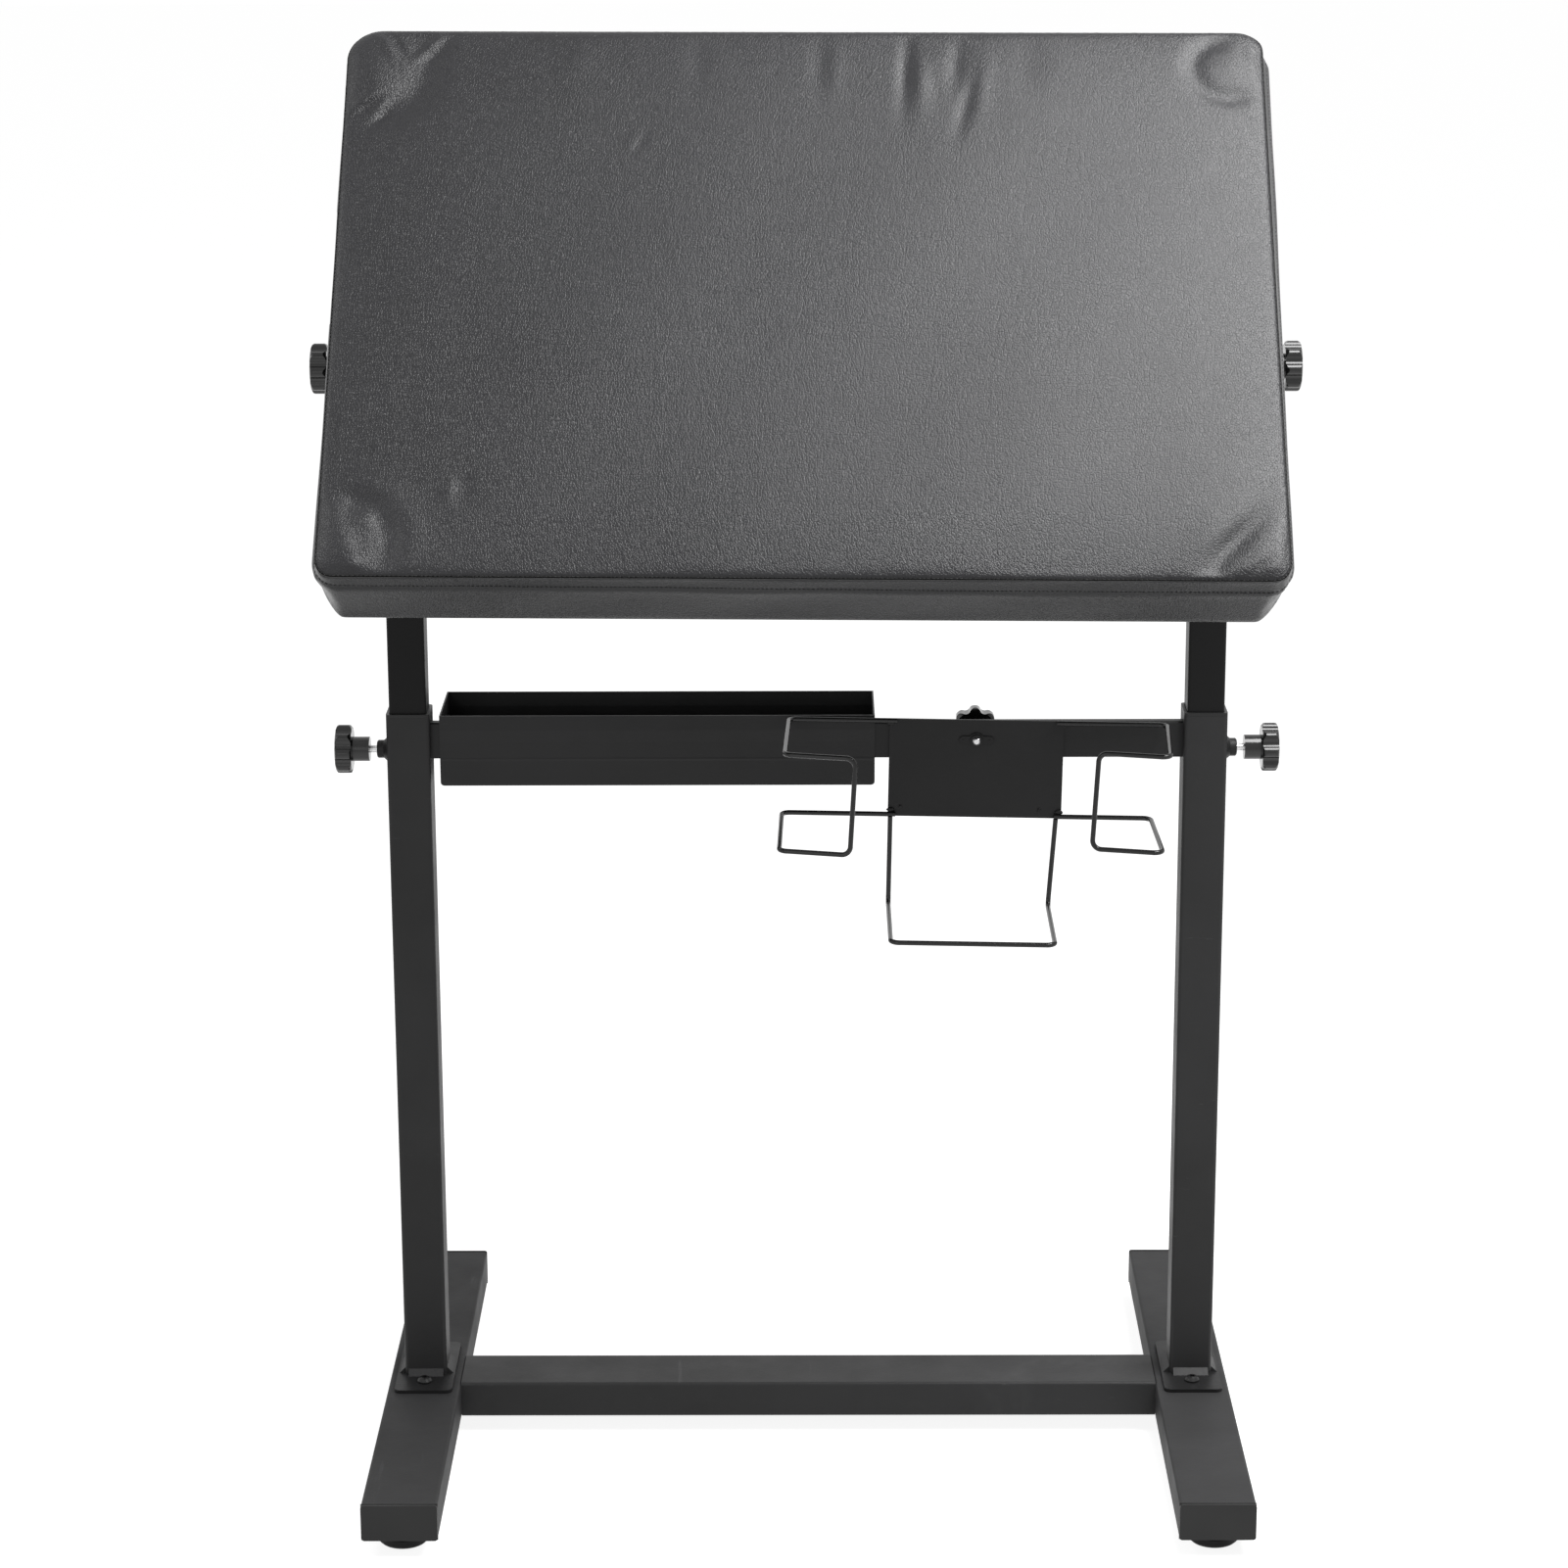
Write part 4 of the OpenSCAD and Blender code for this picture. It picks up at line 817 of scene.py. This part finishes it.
def make_board():
    """The plywood board with the hem's own corners, so that none of it shows outside the cover."""
    step = 12
    _, nodes = loop_nodes(spaced(PAD_A, step, CLOTH_EDGE), spaced(PAD_B, step, CLOTH_EDGE))
    rim, out = outline(nodes, 1.0)
    n = len(rim)
    rings = [(6.5, UNDER + 1.2), (5.5, UNDER + 2.2), (5.5, UNDER + 11), (6.5, UNDER + 12)]
    verts = [(*p, w) for inset, w in rings for p in rim - out * inset]
    faces = [(k * n + i, k * n + (i + 1) % n, (k + 1) * n + (i + 1) % n, (k + 1) * n + i)
             for k in range(len(rings) - 1) for i in range(n)]
    faces += [tuple(range(n))[::-1], tuple((len(rings) - 1) * n + i for i in range(n))]
    verts = to_row(np.array(verts))
    board = new_object("board_blank", verts, faces, PLY, "table", False)
    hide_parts("pad_board")


pad = make_pad()
make_board()
make_seams(pad)


# ---------------------------------------------------------------- threads and welds
TURN_STEPS = 24


def thread(name, start, axis, length, body, radius=2.95, pitch=1.0, depth=0.45):
    """Helical thread as a ribbed sleeve round a stud, from start along axis, in mm."""
    axis = np.array(axis, float)
    side = np.cross(axis, [0, 0, 1] if abs(axis[2]) < 0.9 else [1, 0, 0])
    side /= np.linalg.norm(side)
    other = np.cross(axis, side)
    root, crest, flank = radius - 0.05, radius + depth * 0.5, axis * pitch * 0.32
    steps = int(length / pitch * TURN_STEPS)
    rows = []
    for i in range(steps + 1):
        t = i / TURN_STEPS * 2 * math.pi
        d = side * math.cos(t) + other * math.sin(t)
        c = np.array(start) + axis * (length * i / steps)
        rows.append([c + d * root - flank, c + d * crest, c + d * root + flank])
    verts = np.array(rows).reshape(-1, 3) * MM
    faces = []
    for i in range(steps):
        for j in range(2):
            a = i * 3 + j
            faces.append((a, a + 1, a + 4, a + 3))
    return new_object(name, verts, faces, ZINC, body)


thread("left_height_thread", (-347.4, 0, 586), (-1, 0, 0), 5.0, "left_height_screw")
thread("right_height_thread", (347.4, 0, 586), (1, 0, 0), 5.0, "right_height_screw")
thread("holder_thread", (136.5, -15.55, 595), (0, -1, 0), 0.65, "holder_screw", 2.84)


JOINT_RADIUS = 0.0004


def cap_joints():
    """The dark joint between each rail's end and the flange of its cap."""
    parts = []
    for node in ("left_rail", "right_rail"):
        low, high = (np.array(c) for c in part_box(node))
        for y in (low[1], high[1]):
            ring = np.array([(low[0], y, low[2]), (high[0], y, low[2]),
                             (high[0], y, high[2]), (low[0], y, high[2])])
            middle = np.array([(low[0] + high[0]) / 2, y, (low[2] + high[2]) / 2])
            ups = ring - middle
            ups = ups / np.linalg.norm(ups, axis=1)[:, None]
            parts.append(tube(ring, JOINT_RADIUS, 6, True, 1.0, ups))
    v, f = merged(parts)
    return new_object("cap_joints", v, f, RUBBER, "base")


cap_joints()


# a bolt's half section: mm out from the rail's side, and radius; a low head with a socket
BOLT_SECTION = ((-66.5, 0.01), (-66.5, 4), (0.1, 4), (0.1, 7), (0.5, 7), (0.8, 6.6),
                (0.8, 3.6), (-2.5, 3.4), (-2.5, 0.01))
BOLT_Y, BOLT_SIDES = 16, 24


def flush_bolts():
    """The crossbar's bolts with low heads, since none shows beyond the rails in the photo."""
    low, high = (np.array(c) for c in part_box("left_rail"))
    sides = BOLT_SIDES
    parts = []
    for side in (-1, 1):
        for y in (-BOLT_Y, BOLT_Y):
            verts = [(side * (-low[0] + a * MM), (y + r * math.cos(t)) * MM,
                      (low[2] + high[2]) / 2 + side * r * math.sin(t) * MM)
                     for a, r in BOLT_SECTION for t in np.arange(sides) * 2 * math.pi / sides]
            faces = []
            for i in range(len(BOLT_SECTION) - 1):
                here, there = i * sides, (i + 1) * sides
                for j in range(sides):
                    k = (j + 1) % sides
                    faces.append((here + j, here + k, there + k, there + j))
            parts.append((np.array(verts), faces))
    v, f = merged(parts)
    bolts = new_object("flush_crossbar_bolts", v, f, BLACK_SCREW, "base", False)
    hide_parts("crossbar_bolts")


flush_bolts()


def weld_blob(name, spots, body):
    """Small uneven weld blobs: each spot is a centre and three half sizes, in mm."""
    rng = np.random.default_rng(7)
    parts = []
    for c, size in spots:
        verts, faces = [], []
        rings, sides = 7, 12
        lump = rng.normal(0, 0.07, (rings + 1, sides))
        for i in range(rings + 1):
            phi = math.pi * i / rings
            for j in range(sides):
                th = 2 * math.pi * j / sides
                k = 1 + lump[i, j] * math.sin(phi)
                verts.append([(c[0] + size[0] * math.sin(phi) * math.cos(th) * k) * MM,
                              (c[1] + size[1] * math.cos(phi) * k) * MM,
                              (c[2] + size[2] * math.sin(phi) * math.sin(th) * k) * MM])
        for i in range(rings):
            for j in range(sides):
                a, b = i * sides + j, i * sides + (j + 1) % sides
                faces.append((a, a + sides, b + sides, b))
        parts.append((np.array(verts), faces))
    v, f = merged(parts)
    return new_object(name, v, f, POWDER_DARK, body)


# the holder hangs turned by this much about its screw
HOLDER_X, HOLDER_Z, TURN = 136.5, 595, math.radians(1.1)


def on_holder(x, y, z):
    """A place on the holder plate, from its screw, in the row frame's mm."""
    return (HOLDER_X + x * math.cos(TURN) + z * math.sin(TURN), y,
            HOLDER_Z - x * math.sin(TURN) + z * math.cos(TURN))


weld_blob("holder_welds", [
    (on_holder(-69, -13.2, 13.6), (3.4, 1.2, 1.8)), (on_holder(69, -13.2, 13.6), (3.4, 1.2, 1.8)),
    (on_holder(-68, -13.2, -58.6), (3.2, 1.2, 1.9)), (on_holder(68, -13.2, -58.6), (3.2, 1.2, 1.9)),
    (on_holder(-60, -12.5, -56), (1.5, 0.9, 1.4)), (on_holder(52, -12.5, -57), (1.5, 0.9, 1.4)),
], "holder")


# ---------------------------------------------------------------- floor, world and lamps
FLOOR_HALF, FLOOR_DROP = 14, -0.0004
FLOOR_GREY, FLOOR_GLOW, SKY_GLOW = 0.4, 0.88, 0.28


def seen_by_eye(nt):
    """1 for camera, glossy and transmission rays, 0 for the rays that light the object."""
    path = nt.nodes.new("ShaderNodeLightPath")
    first, second = nt.nodes.new("ShaderNodeMath"), nt.nodes.new("ShaderNodeMath")
    first.operation = second.operation = "MAXIMUM"
    nt.links.new(path.outputs["Is Camera Ray"], first.inputs[0])
    nt.links.new(path.outputs["Is Glossy Ray"], first.inputs[1])
    nt.links.new(first.outputs[0], second.inputs[0])
    nt.links.new(path.outputs["Is Transmission Ray"], second.inputs[1])
    return second.outputs[0]


def make_floor():
    """A white floor to the eye that still takes the shadow."""
    mesh = bpy.data.meshes.new("studio_floor")
    h = FLOOR_HALF
    mesh.from_pydata([(-h, -h, 0), (h, -h, 0), (h, h, 0), (-h, h, 0)], [], [(0, 1, 2, 3)])
    obj = bpy.data.objects.new("studio_floor", mesh)
    bpy.context.scene.collection.objects.link(obj)
    obj.location.z = FLOOR_DROP
    m = bpy.data.materials.new("studio_floor")
    m.use_nodes = True
    nt = m.node_tree
    nt.nodes.clear()
    out = nt.nodes.new("ShaderNodeOutputMaterial")
    dif = nt.nodes.new("ShaderNodeBsdfDiffuse")
    dif.inputs["Color"].default_value = (FLOOR_GREY, FLOOR_GREY, FLOOR_GREY, 1)
    em = nt.nodes.new("ShaderNodeEmission")
    em.inputs["Strength"].default_value = FLOOR_GLOW
    add = nt.nodes.new("ShaderNodeAddShader")
    mix = nt.nodes.new("ShaderNodeMixShader")
    nt.links.new(dif.outputs[0], add.inputs[0])
    nt.links.new(em.outputs[0], add.inputs[1])
    nt.links.new(seen_by_eye(nt), mix.inputs[0])
    nt.links.new(dif.outputs[0], mix.inputs[1])
    nt.links.new(add.outputs[0], mix.inputs[2])
    nt.links.new(mix.outputs[0], out.inputs[0])
    mesh.materials.append(m)


def make_world():
    """White to the eye, and a dim even light on the object."""
    world = bpy.data.worlds.new("studio")
    world.use_nodes = True
    bpy.context.scene.world = world
    nt = world.node_tree
    nt.nodes.clear()
    out = nt.nodes.new("ShaderNodeOutputWorld")
    seen = nt.nodes.new("ShaderNodeBackground")
    seen.inputs["Color"].default_value = (1, 1, 1, 1)
    lit = nt.nodes.new("ShaderNodeBackground")
    lit.inputs["Color"].default_value = (1, 1, 1, 1)
    lit.inputs["Strength"].default_value = SKY_GLOW
    mix = nt.nodes.new("ShaderNodeMixShader")
    nt.links.new(seen_by_eye(nt), mix.inputs[0])
    nt.links.new(lit.outputs[0], mix.inputs[1])
    nt.links.new(seen.outputs[0], mix.inputs[2])
    nt.links.new(mix.outputs[0], out.inputs[0])


def area(name, place, target, size, power):
    """A square-cornered lamp at place, turned to target: size in metres, power in watts."""
    data = bpy.data.lights.new(name, "AREA")
    data.shape = "RECTANGLE"
    data.size, data.size_y = size
    data.energy = power
    obj = bpy.data.objects.new(name, data)
    bpy.context.scene.collection.objects.link(obj)
    obj.location = place
    obj.rotation_euler = (Vector(target) - Vector(place)).to_track_quat("-Z", "Y").to_euler()


make_floor()
make_world()
area("key", (0.88, -0.45, 2.25), (0.2, 0, 1.0), (1.3, 1.3), 84)
area("side", (-1.6, -0.35, 2.2), (-0.2, 0, 1.1), (0.8, 0.8), 10)
area("fill", (-1.4, -2.8, 1.3), (0, 0, 0.5), (1.4, 1.4), 8)
bpy.context.scene.view_settings.view_transform = "Standard"
